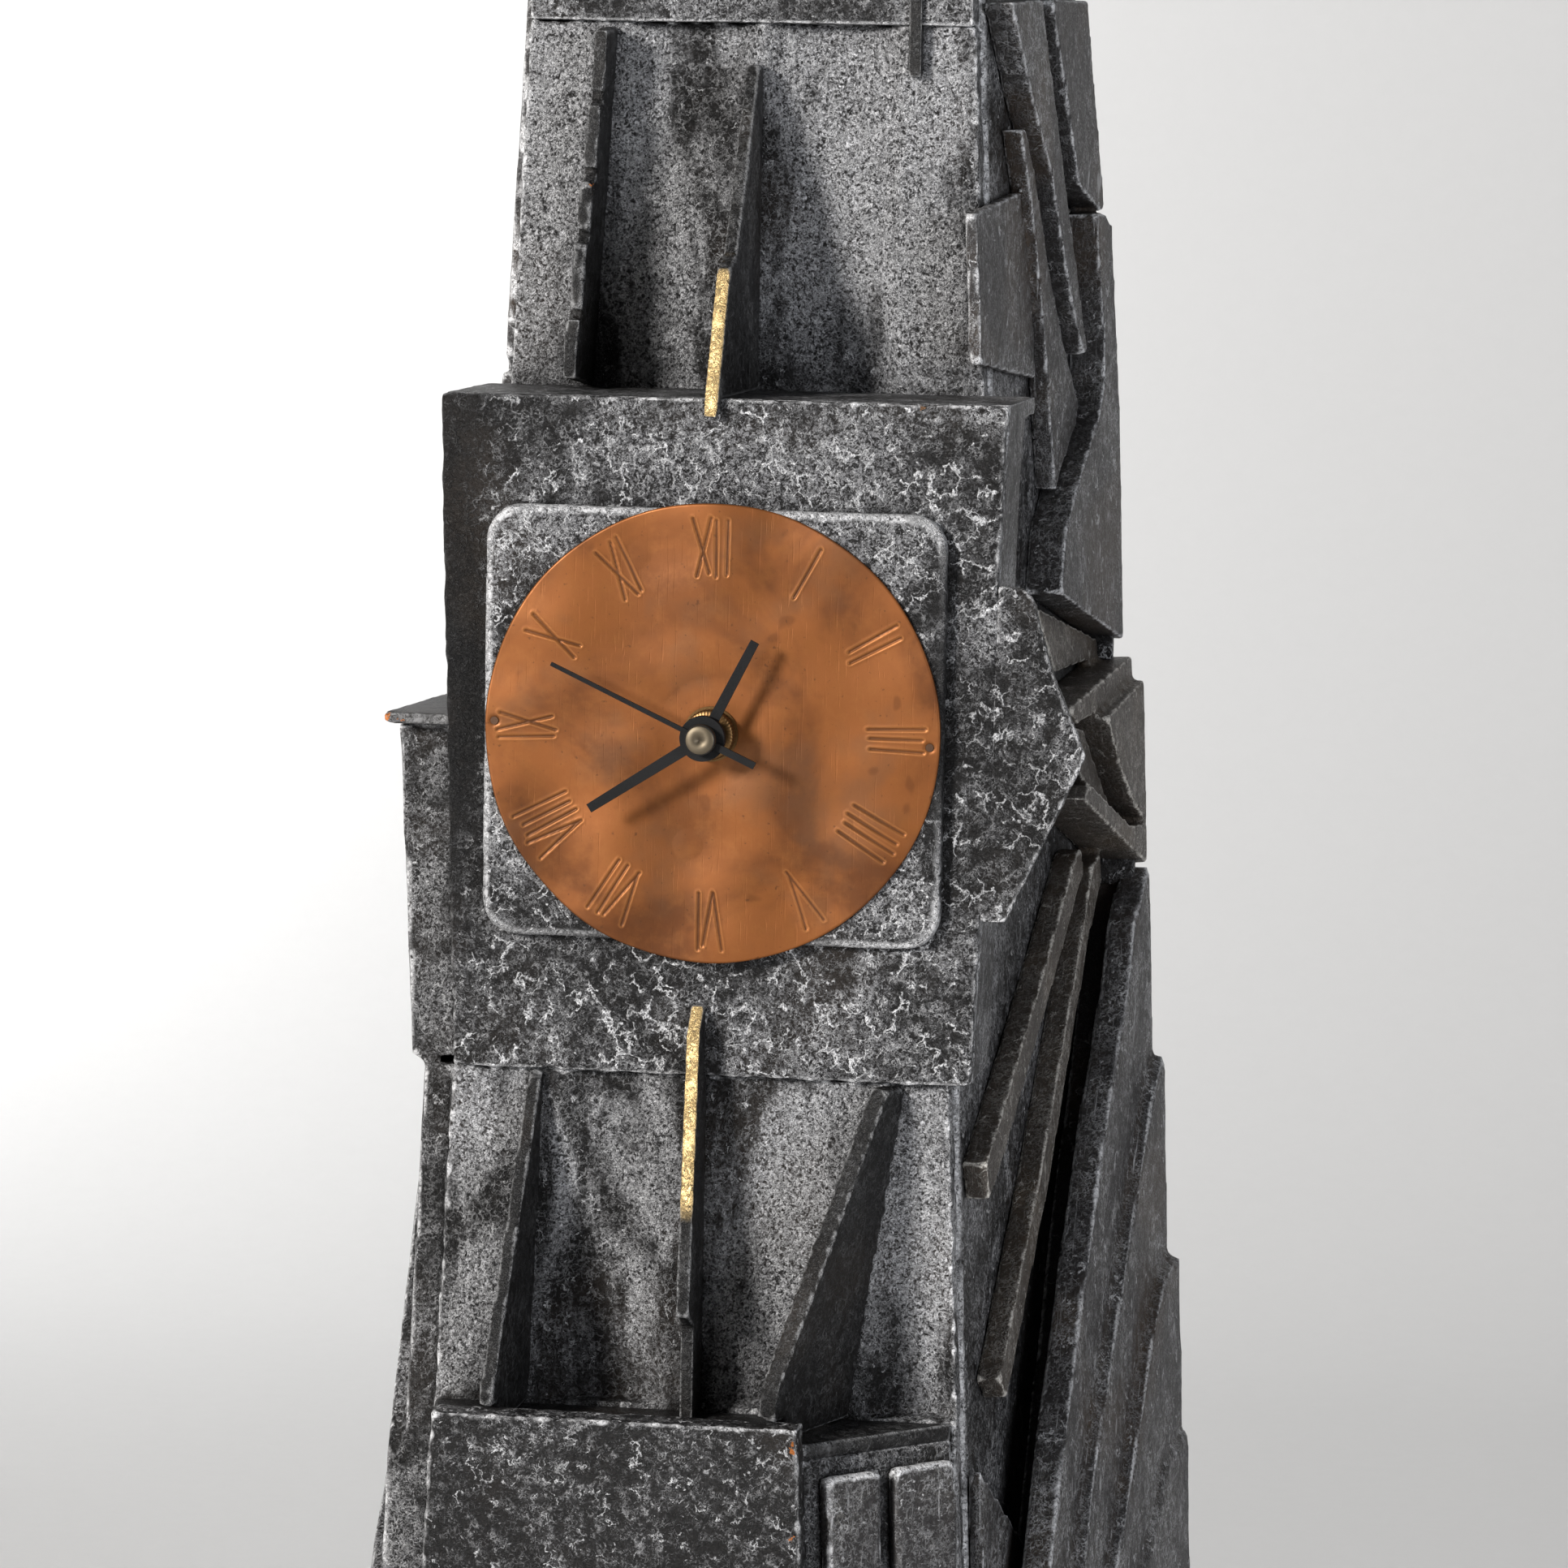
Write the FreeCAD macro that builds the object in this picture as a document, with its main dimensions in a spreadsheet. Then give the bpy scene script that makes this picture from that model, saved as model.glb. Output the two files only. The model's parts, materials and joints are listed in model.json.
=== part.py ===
import FreeCAD, Part
import math
import os
import Sketcher

# A tall hand-built tower clock: a carcase of thin boards under thick dark paint, with a copper dial,
# a battery movement behind it and loose-looking shards of board layered over both flanks.
# Millimetres, +Z up, the dial faces -Y, and the origin lies on the floor below the tower's axis.
# A front distance such as upper_face is counted towards the viewer, so its plane is at Y = -upper_face.

SIZES = {
    # Tower walls: where the outer planes stand on the floor, how they flare and taper
    "wall_half": 104.8, "wall_flare": 5.71, "wall_taper": 2.4, "wall": 6, "panel": 12,
    "lower_face": 101, "upper_face": 37, "back_face": 110, "back_board": 5,
    # Levels
    "plinth_top": 22, "lower_top": 414, "block_top": 621, "seam": 735, "shaft_top": 800,
    "belfry_proud": 3, "step_in": 60, "seat": 0.3, "overrun": 2,
    # Plinth board
    "plinth_front": 12, "plinth_side": 36, "plinth_shoulder": 12, "plinth_nose": 9,
    # Base block
    "base_face": 155, "base_board": 12, "base_cheek": 8, "base_lid": 5, "base_front_top": 316,
    "base_back_top": 309, "base_left_foot": 86, "base_left_top": 71, "base_right_foot": 56,
    "base_right_top": 41, "base_slab": 5, "base_slab_top": 10,
    # Dial block
    "block_face": 105, "block_front": 5, "block_left_top": 82.6, "block_left_foot": 76.3,
    "block_right_top": 91.5, "block_right_foot": 84.5, "block_board": 5, "block_side": 4,
    "block_right_back": 62, "block_left_back": 64,
    "pad_half_width": 70.8, "pad_half_height": 66, "pad_rise": 6, "pad_corner": 11, "pad_drop": -2,
    # Dial
    "dial_x": 4, "dial_z": 520, "dial_radius": 70, "dial_thick": 1.2, "dial_hole_inset": 3,
    "dial_pin": 0.6, "dial_pin_head": 1.2, "dial_pin_rise": 0.5, "dial_pin_turn": -1.6,
    # Boards standing off the block
    "wing_foot_share": 0.3,
    "wing": 4, "wing_reach": 26, "wing_tip_z": 516.4, "wing_top_z": 567, "wing_foot_z": 465,
    "ledge": 3.5, "ledge_top": 522, "ledge_front_reach": 21.5, "ledge_back_reach": 16,
    "ledge_root": 79.6, "ledge_back": 30, "side_lean": 5.2,
    # Fins
    "fin": 4.3, "fin_root": 9, "gold_fin_x": 2, "gold_fin_top": 722, "gold_fin_lip": 44,
    "gold_fin_notch": 664, "gold_fin_notch_face": 80, "gold_fin_step": 12, "gold_fin_face": 110,
    "gold_fin_hook": 5, "stepped_fin_x": 41.5, "stepped_fin_lean": 3.2, "stepped_fin_base": 17,
    "stepped_fin_growth": 3.6, "stepped_fin_gap": 3.4, "stick_fin_x": 52, "stick_fin_foot": 719,
    "stick_fin_rise": 5, "stick_fin_top": 792,
    "left_fin_toe": 12.9, "left_fin_x": 54, "left_fin_top": 413, "left_fin_face": 148, "left_fin_lean": 2,
    "low_gold_x": 0.5, "low_gold_tip": 437, "low_gold_top_face": 115, "low_gold_low_face": 126,
    "low_gold_notch": 343, "low_gold_set_back": 9,
    "right_fin_toe": 17.2, "right_fin": 6, "right_fin_x": 45.5, "right_fin_face": 149, "right_fin_turn": 20,
    "right_fin_lean": 7.5,
    # Flutes scooped out of the two fronts
    "flute_left_x": -19, "flute_left_radius": 34, "flute_left_depth": 7,
    "flute_right_x": 26, "flute_right_radius": 38, "flute_right_depth": 7,
    "scoop_radius": 30, "scoop_left_x": -29, "scoop_right_x": 26, "scoop_edge_x": 68,
    "scoop_edge_radius": 20, "scoop_depth": 8, "scoop_lean": 3,
    # Cladding of the flanks: one sheet's thickness, heights in sheets follow in the tables
    "sheet": 4,
    # Steeple
    "deck": 6, "deck_lip": 7, "spire_half": 50, "spire_front": 34, "spire_back": 98,
    "spire_tip_half": 9, "spire_tip_front": -18, "spire_tip_back": 44, "spire_rise": 166,
    "spire_fin": 5, "spire_fin_reach": 17, "spire_crest_rise": 28, "spire_fin_foot_reach": 8,
    "spire_blade_front": 12, "spire_blade_rear": 55, "spire_blade_drop": 34,
    "spire_blade_low_drop": 67, "spire_shard_rise": 1.2,
    # Back door
    "door_half_width": 62, "door_low": 440, "door_high": 600, "door_gap": 1.5,
    "hinge_leaf": 1, "hinge_reach": 14, "hinge_height": 30, "knuckle": 2.2, "knuckle_gap": 0.3,
    "pin_radius": 1, "pin_play": 0.06, "pin_head": 1.6, "pin_head_height": 0.8,
    "hinge_low": 470, "hinge_high": 570,
    "button_length": 34, "button_width": 11, "button_thick": 5, "button_play": 0.3,
    "button_screw": 1.8, "button_screw_head": 3.6, "button_screw_head_height": 2,
    "button_screw_length": 9, "button_offset": 8, "button_screw_play": 0.08,
    "screw_head": 2.4, "screw_head_height": 0.9,
    # Movement case, counted backwards from the dial block's board
    "case_half": 28, "case_depth": 18, "case_wall": 1.2, "case_split": 9,
    "bush_radius": 3.9, "bush_bore": 2.95, "bush_reach": 6.3, "bush_hole_play": 0.25,
    "washer_radius": 8.4, "washer_thick": 0.8, "nut_radius": 7.7, "nut_thick": 4,
    # Arbors
    "hour_pipe": 2.9, "hour_bore": 1.95, "minute_arbor": 1.9, "minute_bore": 0.7,
    "second_arbor": 0.64, "pivot": 0.4, "pivot_play": 0.06, "pivot_depth": 0.8, "arbor": 0.8,
    "rotor_arbor": 0.45, "stud": 0.75, "shake": 0.15, "layer_gap": 0.5, "wheel_thick": 1.2,
    # Hands, counted forwards from the dial's face
    "hour_hand_rise": 10, "minute_hand_rise": 13.2, "second_hand_rise": 16.4,
    "hand_thick": 0.8, "hour_hub": 6, "minute_hub": 6.9, "hub_depth": 2.6,
    "hour_length": 33, "minute_length": 41, "second_length": 51, "second_tail": 18,
    "hour_width": 3.4, "minute_width": 3.6, "second_width": 1.5, "second_tail_width": 2.2,
    "hand_tip_share": 0.8,
    "hour_angle": 27, "minute_angle": 237, "second_angle": 294.7,
    "cap_radius": 4.6, "cap_depth": 3.4,
    # Wheels: tooth counts and modules
    "second_pinion": 8, "third_wheel": 64, "third_pinion": 8, "minute_wheel": 60,
    "rotor_pinion": 6, "step_wheel": 60, "step_pinion": 10, "second_wheel": 30,
    "cannon_pinion": 12, "motion_wheel": 36, "motion_pinion": 10, "hour_wheel": 40,
    "setting_wheel": 24,
    "third_module": 0.3, "step_module": 0.25, "second_module": 0.55, "motion_module": 0.4,
    "third_bearing": 150, "step_bearing": 40, "rotor_bearing": 100, "motion_bearing": -20,
    "setting_bearing": 10,
    "magnet_radius": 2.6, "magnet_length": 2.4, "stator_clearance": 0.5, "stator_thick": 0.8,
    "stator_rim": 0.35,
    "coil_radius": 3.2, "coil_core": 1.2, "coil_length": 22, "coil_rise": 22.6,
    "coil_flange": 3.9, "coil_flange_thick": 0.8, "coil_x": 2,
    "circuit_thick": 0.8, "circuit_width": 16, "circuit_height": 9, "circuit_x": -17.5,
    "circuit_rise": 21.5, "circuit_blob": 2.25,
    "knob_radius": 5, "knob_length": 3.4, "knob_gap": 0.3,
    "cell_radius": 7.1, "cell_length": 47, "cell_drop": 19.3, "cell_cap_radius": 2.7,
    "cell_cap_length": 1.4, "contact_thick": 0.5, "contact_width": 9, "partition": 1,
    "partition_gap": 0.1,
}

doc = FreeCAD.newDocument("tower_clock")
sheet = doc.addObject("Spreadsheet::Sheet", "Dim")
for row, (name, number) in enumerate(SIZES.items(), start=1):
    sheet.set(f"A{row}", name)
    sheet.set(f"B{row}", str(number))
    sheet.setAlias(f"B{row}", name)
doc.recompute()

NODES = {}


def value(text):
    """The number that an expression on the sheet gives."""
    return float(sheet.evalExpression(text))


def node(name, item):
    """Label an object as a sub-part that is written to its own file."""
    item.Label = name
    NODES[name] = item
    return item


def half(y, z):
    """Expression for X of the right wall's outer plane at a depth and a height."""
    return (f"(Dim.wall_half + ({y}) * tan(Dim.wall_flare) / cos(Dim.wall_taper)"
            f" - ({z}) * tan(Dim.wall_taper))")


def draw(sketch, outline):
    """Closed outline whose every corner is held at two expressions."""
    corners = [(value(u), value(v)) for u, v in outline]
    count = len(corners)
    for i, (u, v) in enumerate(corners):
        nu, nv = corners[(i + 1) % count]
        sketch.addGeometry(Part.LineSegment(FreeCAD.Vector(u, v, 0), FreeCAD.Vector(nu, nv, 0)))
    for i in range(count):
        sketch.addConstraint(Sketcher.Constraint("Coincident", i, 2, (i + 1) % count, 1))
    for i, corner in enumerate(corners):
        for kind, number, text in zip(("DistanceX", "DistanceY"), corner, outline[i]):
            held = sketch.addConstraint(Sketcher.Constraint(kind, -1, 1, i, 1, number))
            sketch.setExpression(f"Constraints[{held}]", text)


def sketch_in(body, name, plane, outline, offset="0"):
    """Sketch on one of the body's own origin planes, moved along its normal."""
    sketch = body.newObject("Sketcher::SketchObject", name)
    support = next(item for item in body.Origin.OriginFeatures if item.Role == plane)
    sketch.AttachmentSupport = [(support, "")]
    sketch.MapMode = "FlatFace"
    if offset != "0":
        sketch.setExpression("AttachmentOffset.Base.z", offset)
    draw(sketch, outline)
    return sketch


def board(name, plane, outline, thick, place="", offset="0", flip=False):
    """One flat board: an outline on a plane, padded by the board's thickness."""
    body = doc.addObject("PartDesign::Body", name)
    sketch = sketch_in(body, name + "_outline", plane, outline, offset)
    pad = body.newObject("PartDesign::Pad", name + "_pad")
    pad.Profile = sketch
    pad.setExpression("Length", thick)
    pad.Reversed = flip
    if place:
        body.setExpression("Placement", place)
    return body


def front_board(name, outline, thick, face):
    """Board that faces the viewer, with its front at Y = -face."""
    place = f"placement(vector(0; {thick} - ({face}); 0); rotation(vector(0; 0; 1); 0))"
    return board(name, "XZ_Plane", outline, thick, place)


def fin(name, outline, thick, x, y="0", z="0", turn="0", lean="0"):
    """Upright board seen on edge from the front; it may turn about Z and lean about Y."""
    place = (f"placement(vector({x}; {y}; {z}); rotation(vector(0; 0; 1); {turn})"
             f" * rotation(vector(0; 1; 0); {lean}))")
    return board(name, "YZ_Plane", outline, thick, place, offset=f"-({thick}) / 2")


def loft(name, low, low_z, high, high_z):
    """Board or block between two level outlines with as many corners."""
    body = doc.addObject("PartDesign::Body", name)
    first = sketch_in(body, name + "_low", "XY_Plane", low, low_z)
    second = sketch_in(body, name + "_high", "XY_Plane", high, high_z)
    shape = body.newObject("PartDesign::AdditiveLoft", name + "_loft")
    shape.Profile = first
    shape.Sections = [second]
    shape.Ruled = True
    return body


def box(name, x, y, z, dx, dy, dz):
    """Box with its low corner and its three lengths bound to expressions."""
    item = doc.addObject("Part::Box", name)
    for prop, text in zip(("Length", "Width", "Height"), (dx, dy, dz)):
        item.setExpression(prop, text)
    item.setExpression("Placement", f"placement(vector({x}; {y}; {z}); rotation(vector(0; 0; 1); 0))")
    return item


def rod(name, x, z, radius, front, back):
    """Cylinder along Y between two front distances."""
    item = doc.addObject("Part::Cylinder", name)
    item.setExpression("Radius", radius)
    item.setExpression("Height", f"({front}) - ({back})")
    item.setExpression("Placement",
                       f"placement(vector({x}; -({back}); {z}); rotation(vector(1; 0; 0); 90))")
    return item


def post(name, x, y, z, radius, height, turn="0", axis="0; 0; 1"):
    """Cylinder along Z, or turned about an axis."""
    item = doc.addObject("Part::Cylinder", name)
    item.setExpression("Radius", radius)
    item.setExpression("Height", height)
    item.setExpression("Placement", f"placement(vector({x}; {y}; {z}); rotation(vector({axis}); {turn}))")
    return item


def fuse(name, items):
    """Several solids made one."""
    if len(items) == 1:
        return items[0]
    item = doc.addObject("Part::MultiFuse", name)
    item.Shapes = items
    return item


def cut(name, base, tools):
    """A solid with one or more others taken out of it."""
    item = doc.addObject("Part::Cut", name)
    item.Base = base
    item.Tool = fuse(name + "_tools", tools)
    return item


def group(name, items):
    """Separate solids of one kind that share a node."""
    item = doc.addObject("Part::Compound", name)
    item.Links = items
    return node(name, item)


# Plinth and base block


def base_corner(side, z_share):
    """X of a front corner of the base block, between its foot and its top."""
    foot, top = f"Dim.base_{side}_foot", f"Dim.base_{side}_top"
    sign = "-" if side == "left" else ""
    return f"{sign}({foot} + ({top} - {foot}) * {z_share})"


def make_plinth():
    """Thick board that the whole clock stands on."""
    shoulder = half("-Dim.lower_face", "0")
    back = half("Dim.back_face", "0")
    outline = [
        (f"-({back} + Dim.plinth_side)", "Dim.back_face"),
        (f"-({shoulder} + Dim.plinth_shoulder)", "-Dim.lower_face"),
        ("-(Dim.base_left_foot + Dim.plinth_nose)", "-(Dim.base_face + Dim.plinth_front)"),
        ("Dim.base_right_foot + Dim.plinth_nose", "-(Dim.base_face + Dim.plinth_front)"),
        (f"{shoulder} + Dim.plinth_shoulder", "-Dim.lower_face"),
        (f"{back} + Dim.plinth_side", "Dim.back_face"),
    ]
    node("plinth_board", board("plinth_board", "XY_Plane", outline, "Dim.plinth_top"))


def make_base():
    """Front board, two cheeks and a sloping lid in front of the tower's foot."""
    front = [(base_corner("left", "0"), "Dim.plinth_top"), (base_corner("right", "0"), "Dim.plinth_top"),
             (base_corner("right", "1"), "Dim.base_front_top"),
             (base_corner("left", "1"), "Dim.base_front_top")]
    node("base_front_board", front_board("base_front_board", front, "Dim.base_board", "Dim.base_face"))
    inner_y = "-(Dim.base_face - Dim.base_board)"
    for side, sign in (("left", "-"), ("right", "")):
        rings = []
        for share, z in (("0", "Dim.plinth_top"), ("1", "Dim.base_back_top - Dim.base_lid")):
            front_x = base_corner(side, share)
            back_x = f"{sign}({half('-Dim.lower_face', z)})"
            inward = f"{'+' if side == 'left' else '-'} Dim.base_cheek"
            rings.append([(front_x, inner_y), (back_x, "-Dim.lower_face"),
                          (f"{back_x} {inward}", "-Dim.lower_face"),
                          (f"{front_x} {inward}", inner_y)])
        name = f"base_{side}_cheek"
        node(name, loft(name, rings[0], "Dim.plinth_top", rings[1],
                        "Dim.base_back_top - Dim.base_lid"))
    lid = [(base_corner("left", "1"), inner_y), (base_corner("right", "1"), inner_y),
           (half("-Dim.lower_face", "Dim.base_back_top"), "-Dim.lower_face"),
           (f"-({half('-Dim.lower_face', 'Dim.base_back_top')})", "-Dim.lower_face")]
    node("base_lid", loft("base_lid", lid, "Dim.base_back_top - Dim.base_lid", lid,
                          "Dim.base_back_top"))


BASE_SLAB_SHARES = ((0.06, 0.44, 0.10, 0.44), (0.50, 0.97, 0.54, 0.93))


def make_base_slabs():
    """Two boards that lean on the right cheek; each row gives where they start and end along it."""
    slabs = []
    for i, (low_a, low_b, high_a, high_b) in enumerate(BASE_SLAB_SHARES):
        rings = []
        for share, z, a, b in (("0", "Dim.plinth_top", low_a, low_b),
                               ("1", "Dim.base_back_top - Dim.base_slab_top", high_a, high_b)):
            fx, fy = base_corner("right", share), "-(Dim.base_face - Dim.base_board)"
            bx, by = half("-Dim.lower_face", z), "-Dim.lower_face"
            length = f"sqrt(({bx} - {fx})^2 + ({by} - {fy})^2)"
            out_x = f"(({by} - {fy}) / {length})"
            out_y = f"(-({bx} - {fx}) / {length})"
            ring = []
            for along, off in ((a, "0"), (b, "0"), (b, "1"), (a, "1")):
                stand = f"(Dim.seat + Dim.base_slab * {off})"
                ring.append((f"{fx} + ({bx} - {fx}) * {along} + {out_x} * {stand}",
                             f"{fy} + ({by} - {fy}) * {along} + {out_y} * {stand}"))
            rings.append(ring)
        slabs.append(loft(f"base_slab_{i}", rings[0], "Dim.plinth_top", rings[1],
                          "Dim.base_back_top - Dim.base_slab_top"))
    group("base_right_slabs", slabs)


# Tower walls, fronts and back


def wall_place(side):
    """Placement of a frame whose Y and Z run along a wall and whose X leaves it."""
    sign = "-" if side == "left" else ""
    other = "" if side == "left" else "-"
    return (f"placement(vector({sign}Dim.wall_half; 0; 0);"
            f" rotation(vector(0; 1; 0); {other}Dim.wall_taper)"
            f" * rotation(vector(0; 0; 1); {other}Dim.wall_flare))")


def make_walls():
    """Two side walls, stepped for the dial block and trimmed where plinth, back and deck meet them."""
    foot, top = "Dim.plinth_top - Dim.overrun", "Dim.shaft_top + Dim.overrun"
    back = "Dim.back_face - Dim.back_board"
    low_front = "-(Dim.lower_face - Dim.panel) / cos(Dim.wall_flare)"
    high_front = "-(Dim.upper_face - Dim.panel) / cos(Dim.wall_flare)"
    shelf = "Dim.block_top - Dim.block_board"
    outline = [(low_front, foot), (back, foot), (back, top), (high_front, top),
               (high_front, shelf), ("-Dim.step_in", shelf), ("-Dim.step_in", "Dim.lower_top"),
               (low_front, "Dim.lower_top")]
    for side in ("left", "right"):
        name = f"{side}_wall"
        plank = board(f"{side}_plank", "YZ_Plane", outline, "Dim.wall", wall_place(side),
                      flip=side == "right")
        ends = [NODES[other] for other in ("plinth_board", "back_board", "crown_deck")]
        node(name, cut(name, plank, ends))


def tower_outline(y, low, high, inset="0"):
    """Trapezium across the tower between two heights, at a depth."""
    return [(f"-({half(y, low)} - {inset})", low), (f"{half(y, low)} - {inset}", low),
            (f"{half(y, high)} - {inset}", high), (f"-({half(y, high)} - {inset})", high)]


def make_back():
    """Back board with the door's opening."""
    outline = tower_outline("Dim.back_face - Dim.back_board", "Dim.plinth_top", "Dim.shaft_top")
    plate = front_board("back_plate", outline, "Dim.back_board", "-(Dim.back_face - Dim.back_board)")
    hole = box("door_opening", "Dim.dial_x - Dim.door_half_width",
               "Dim.back_face - Dim.back_board - Dim.overrun", "Dim.door_low",
               "2 * Dim.door_half_width", "Dim.back_board + 2 * Dim.overrun",
               "Dim.door_high - Dim.door_low")
    screw = rod("button_screw_hole", BUTTON_X, "Dim.dial_z", "Dim.button_screw", BUTTON_SCREW_TIP,
                "-Dim.back_face - Dim.overrun")
    node("back_board", cut("back_board", plate, [hole, screw]))


def make_fronts():
    """Lower and upper fronts with their hollows, and the belfry front over the seam."""
    upper = front_board("upper_plate", tower_outline("-Dim.upper_face", "Dim.block_top - Dim.block_board",
                                                     "Dim.seam"), "Dim.panel", "Dim.upper_face")
    flutes = []
    for side in ("left", "right"):
        radius, depth = f"Dim.flute_{side}_radius", f"Dim.flute_{side}_depth"
        flutes.append(post(f"flute_{side}", f"Dim.flute_{side}_x",
                           f"-(Dim.upper_face + {radius} - {depth})",
                           "Dim.block_top - Dim.block_board - Dim.overrun", radius,
                           "Dim.seam - Dim.block_top + Dim.block_board + 2 * Dim.overrun"))
    node("upper_front_panel", cut("upper_front_panel", upper, flutes))
    lower = front_board("lower_plate", tower_outline("-Dim.lower_face", "Dim.plinth_top",
                                                     "Dim.lower_top"), "Dim.panel", "Dim.lower_face")
    scoops = []
    for name, radius in (("left", "Dim.scoop_radius"), ("right", "Dim.scoop_radius"),
                         ("edge", "Dim.scoop_edge_radius")):
        scoops.append(post(f"scoop_{name}", f"Dim.scoop_{name}_x",
                           f"-(Dim.lower_face + {radius} - Dim.scoop_depth)", "Dim.base_back_top",
                           radius, "Dim.lower_top - Dim.base_back_top + Dim.panel",
                           turn="Dim.scoop_lean", axis="1; 0; 0"))
    node("lower_front_panel", cut("lower_front_panel", lower, scoops))
    belfry = tower_outline("-(Dim.upper_face + Dim.belfry_proud)", "Dim.seam", "Dim.shaft_top")
    node("belfry_front_panel", front_board("belfry_front_panel", belfry,
                                           "Dim.panel + Dim.belfry_proud",
                                           "Dim.upper_face + Dim.belfry_proud"))


# Dial block

CENTRE = ("Dim.dial_x", "Dim.dial_z")


def beside(centre, distance, bearing):
    """Point at a distance and an angle from another, seen from the front."""
    return (f"({centre[0]} + {distance} * cos({bearing}))", f"({centre[1]} + {distance} * sin({bearing}))")


def block_edge(side, z):
    """X of the block's left or right edge at a height."""
    foot, top = f"Dim.block_{side}_foot", f"Dim.block_{side}_top"
    sign = "-" if side == "left" else ""
    return (f"{sign}({foot} + ({top} - {foot}) * ({z} - Dim.lower_top)"
            f" / (Dim.block_top - Dim.lower_top))")


def block_hole(name, front):
    """Bore for the movement's bush through everything behind a front distance."""
    return rod(name, "Dim.dial_x", "Dim.dial_z", "Dim.bush_radius + Dim.bush_hole_play", front,
               "Dim.block_face - Dim.block_front - Dim.overrun")


def make_block():
    """Board that carries the dial, its rounded pad, and the boards round its sides."""
    outline = [(block_edge("left", "Dim.lower_top"), "Dim.lower_top"),
               (block_edge("right", "Dim.lower_top"), "Dim.lower_top"),
               (block_edge("right", "Dim.block_top"), "Dim.block_top"),
               (block_edge("left", "Dim.block_top"), "Dim.block_top")]
    plate = front_board("block_plate", outline, "Dim.block_front", "Dim.block_face")
    bore = block_hole("block_bore", "Dim.block_face + Dim.overrun")
    node("dial_block_front", cut("dial_block_front", plate, [bore]))

    pad_z = "(Dim.dial_z - Dim.pad_drop)"
    pad_outline = [("Dim.dial_x - Dim.pad_half_width", f"{pad_z} - Dim.pad_half_height"),
                   ("Dim.dial_x + Dim.pad_half_width", f"{pad_z} - Dim.pad_half_height"),
                   ("Dim.dial_x + Dim.pad_half_width", f"{pad_z} + Dim.pad_half_height"),
                   ("Dim.dial_x - Dim.pad_half_width", f"{pad_z} + Dim.pad_half_height")]
    pad = front_board("pad_plate", pad_outline, "Dim.pad_rise", "Dim.block_face + Dim.pad_rise")
    doc.recompute()
    square = pad.Tip
    corners = [f"Edge{i}" for i, edge in enumerate(square.Shape.Edges, start=1)
               if round(abs(edge.tangentAt(edge.FirstParameter).y))]
    rounded = pad.newObject("PartDesign::Fillet", "pad_corners")
    rounded.Base = (square, corners)
    rounded.setExpression("Radius", "Dim.pad_corner")
    face = "Dim.block_face + Dim.pad_rise + Dim.overrun"
    holes = [block_hole("pad_bore", face)] + dial_pin_rods("pad_pin_hole", "Dim.dial_pin", face,
                                                           "Dim.block_face")
    node("dial_pad", cut("dial_pad", pad, holes))

    front = "-(Dim.block_face - Dim.block_front)"
    top_low, foot_high = "Dim.block_top - Dim.block_board", "Dim.lower_top + Dim.block_board"
    lid = [(block_edge("left", "Dim.block_top"), front), (block_edge("right", "Dim.block_top"), front),
           (block_edge("right", "Dim.block_top"), "-Dim.upper_face"),
           (block_edge("left", "Dim.block_top"), "-Dim.upper_face")]
    sides = [board("block_top_board", "XY_Plane", lid, "Dim.block_board", offset=top_low)]
    sill = [(block_edge("left", "Dim.lower_top"), front), (block_edge("right", "Dim.lower_top"), front),
            (block_edge("right", "Dim.lower_top"), "-Dim.step_in - Dim.seat"),
            (block_edge("left", "Dim.lower_top"), "-Dim.step_in - Dim.seat")]
    sides.append(board("block_bottom_board", "XY_Plane", sill, "Dim.block_board",
                       offset="Dim.lower_top"))
    for side, sign in (("left", "+"), ("right", "-")):
        rings = []
        for z in (foot_high, top_low):
            edge = block_edge(side, z)
            back = f"-Dim.block_{side}_back"
            rings.append([(edge, front), (f"{edge} {sign} Dim.block_side", front),
                          (f"{edge} {sign} Dim.block_side", back), (edge, back)])
        sides.append(loft(f"block_{side}_board", rings[0], foot_high, rings[1], top_low))
    group("dial_block_sides", sides)


WING_SHARES = ((0.30, 0.995), (0.42, 0.97), (0.70, 0.74))


def make_wing_and_ledge():
    """The pointed wing on the block's right edge and the level ledge on its left."""
    height = "(Dim.wing_top_z - Dim.wing_foot_z)"
    root = block_edge("right", "Dim.wing_foot_z")
    outline = [(root, "Dim.wing_foot_z"),
               (f"{root} + Dim.wing_reach * Dim.wing_foot_share", "Dim.wing_foot_z"),
               ("Dim.block_right_top + Dim.wing_reach", "Dim.wing_tip_z")]
    for across, up in reversed(WING_SHARES):
        z = f"(Dim.wing_foot_z + {height} * {up})"
        outline.append((f"{block_edge('right', z)} + Dim.wing_reach * {across}", z))
    outline.append((block_edge("right", "Dim.wing_top_z"), "Dim.wing_top_z"))
    node("wing_board", front_board("wing_board", outline, "Dim.wing", "Dim.block_face"))
    front = "-(Dim.block_face - Dim.block_front)"
    ledge = [("-(Dim.ledge_root + Dim.ledge_front_reach)", front), ("-Dim.ledge_root", front),
             ("-Dim.ledge_root", "-Dim.ledge_back"),
             ("-(Dim.ledge_root + Dim.ledge_back_reach)", "-Dim.ledge_back")]
    blank = board("ledge_blank", "XY_Plane", ledge, "Dim.ledge", offset="Dim.ledge_top - Dim.ledge")
    node("ledge_board", cut("ledge_board", blank, [NODES["left_wall"]]))


# Fins

STEPPED_FIN_SHARES = ((0.03, 0.19), (0.22, 0.40), (0.44, 0.57), (0.61, 0.78), (0.82, 0.99))


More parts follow.
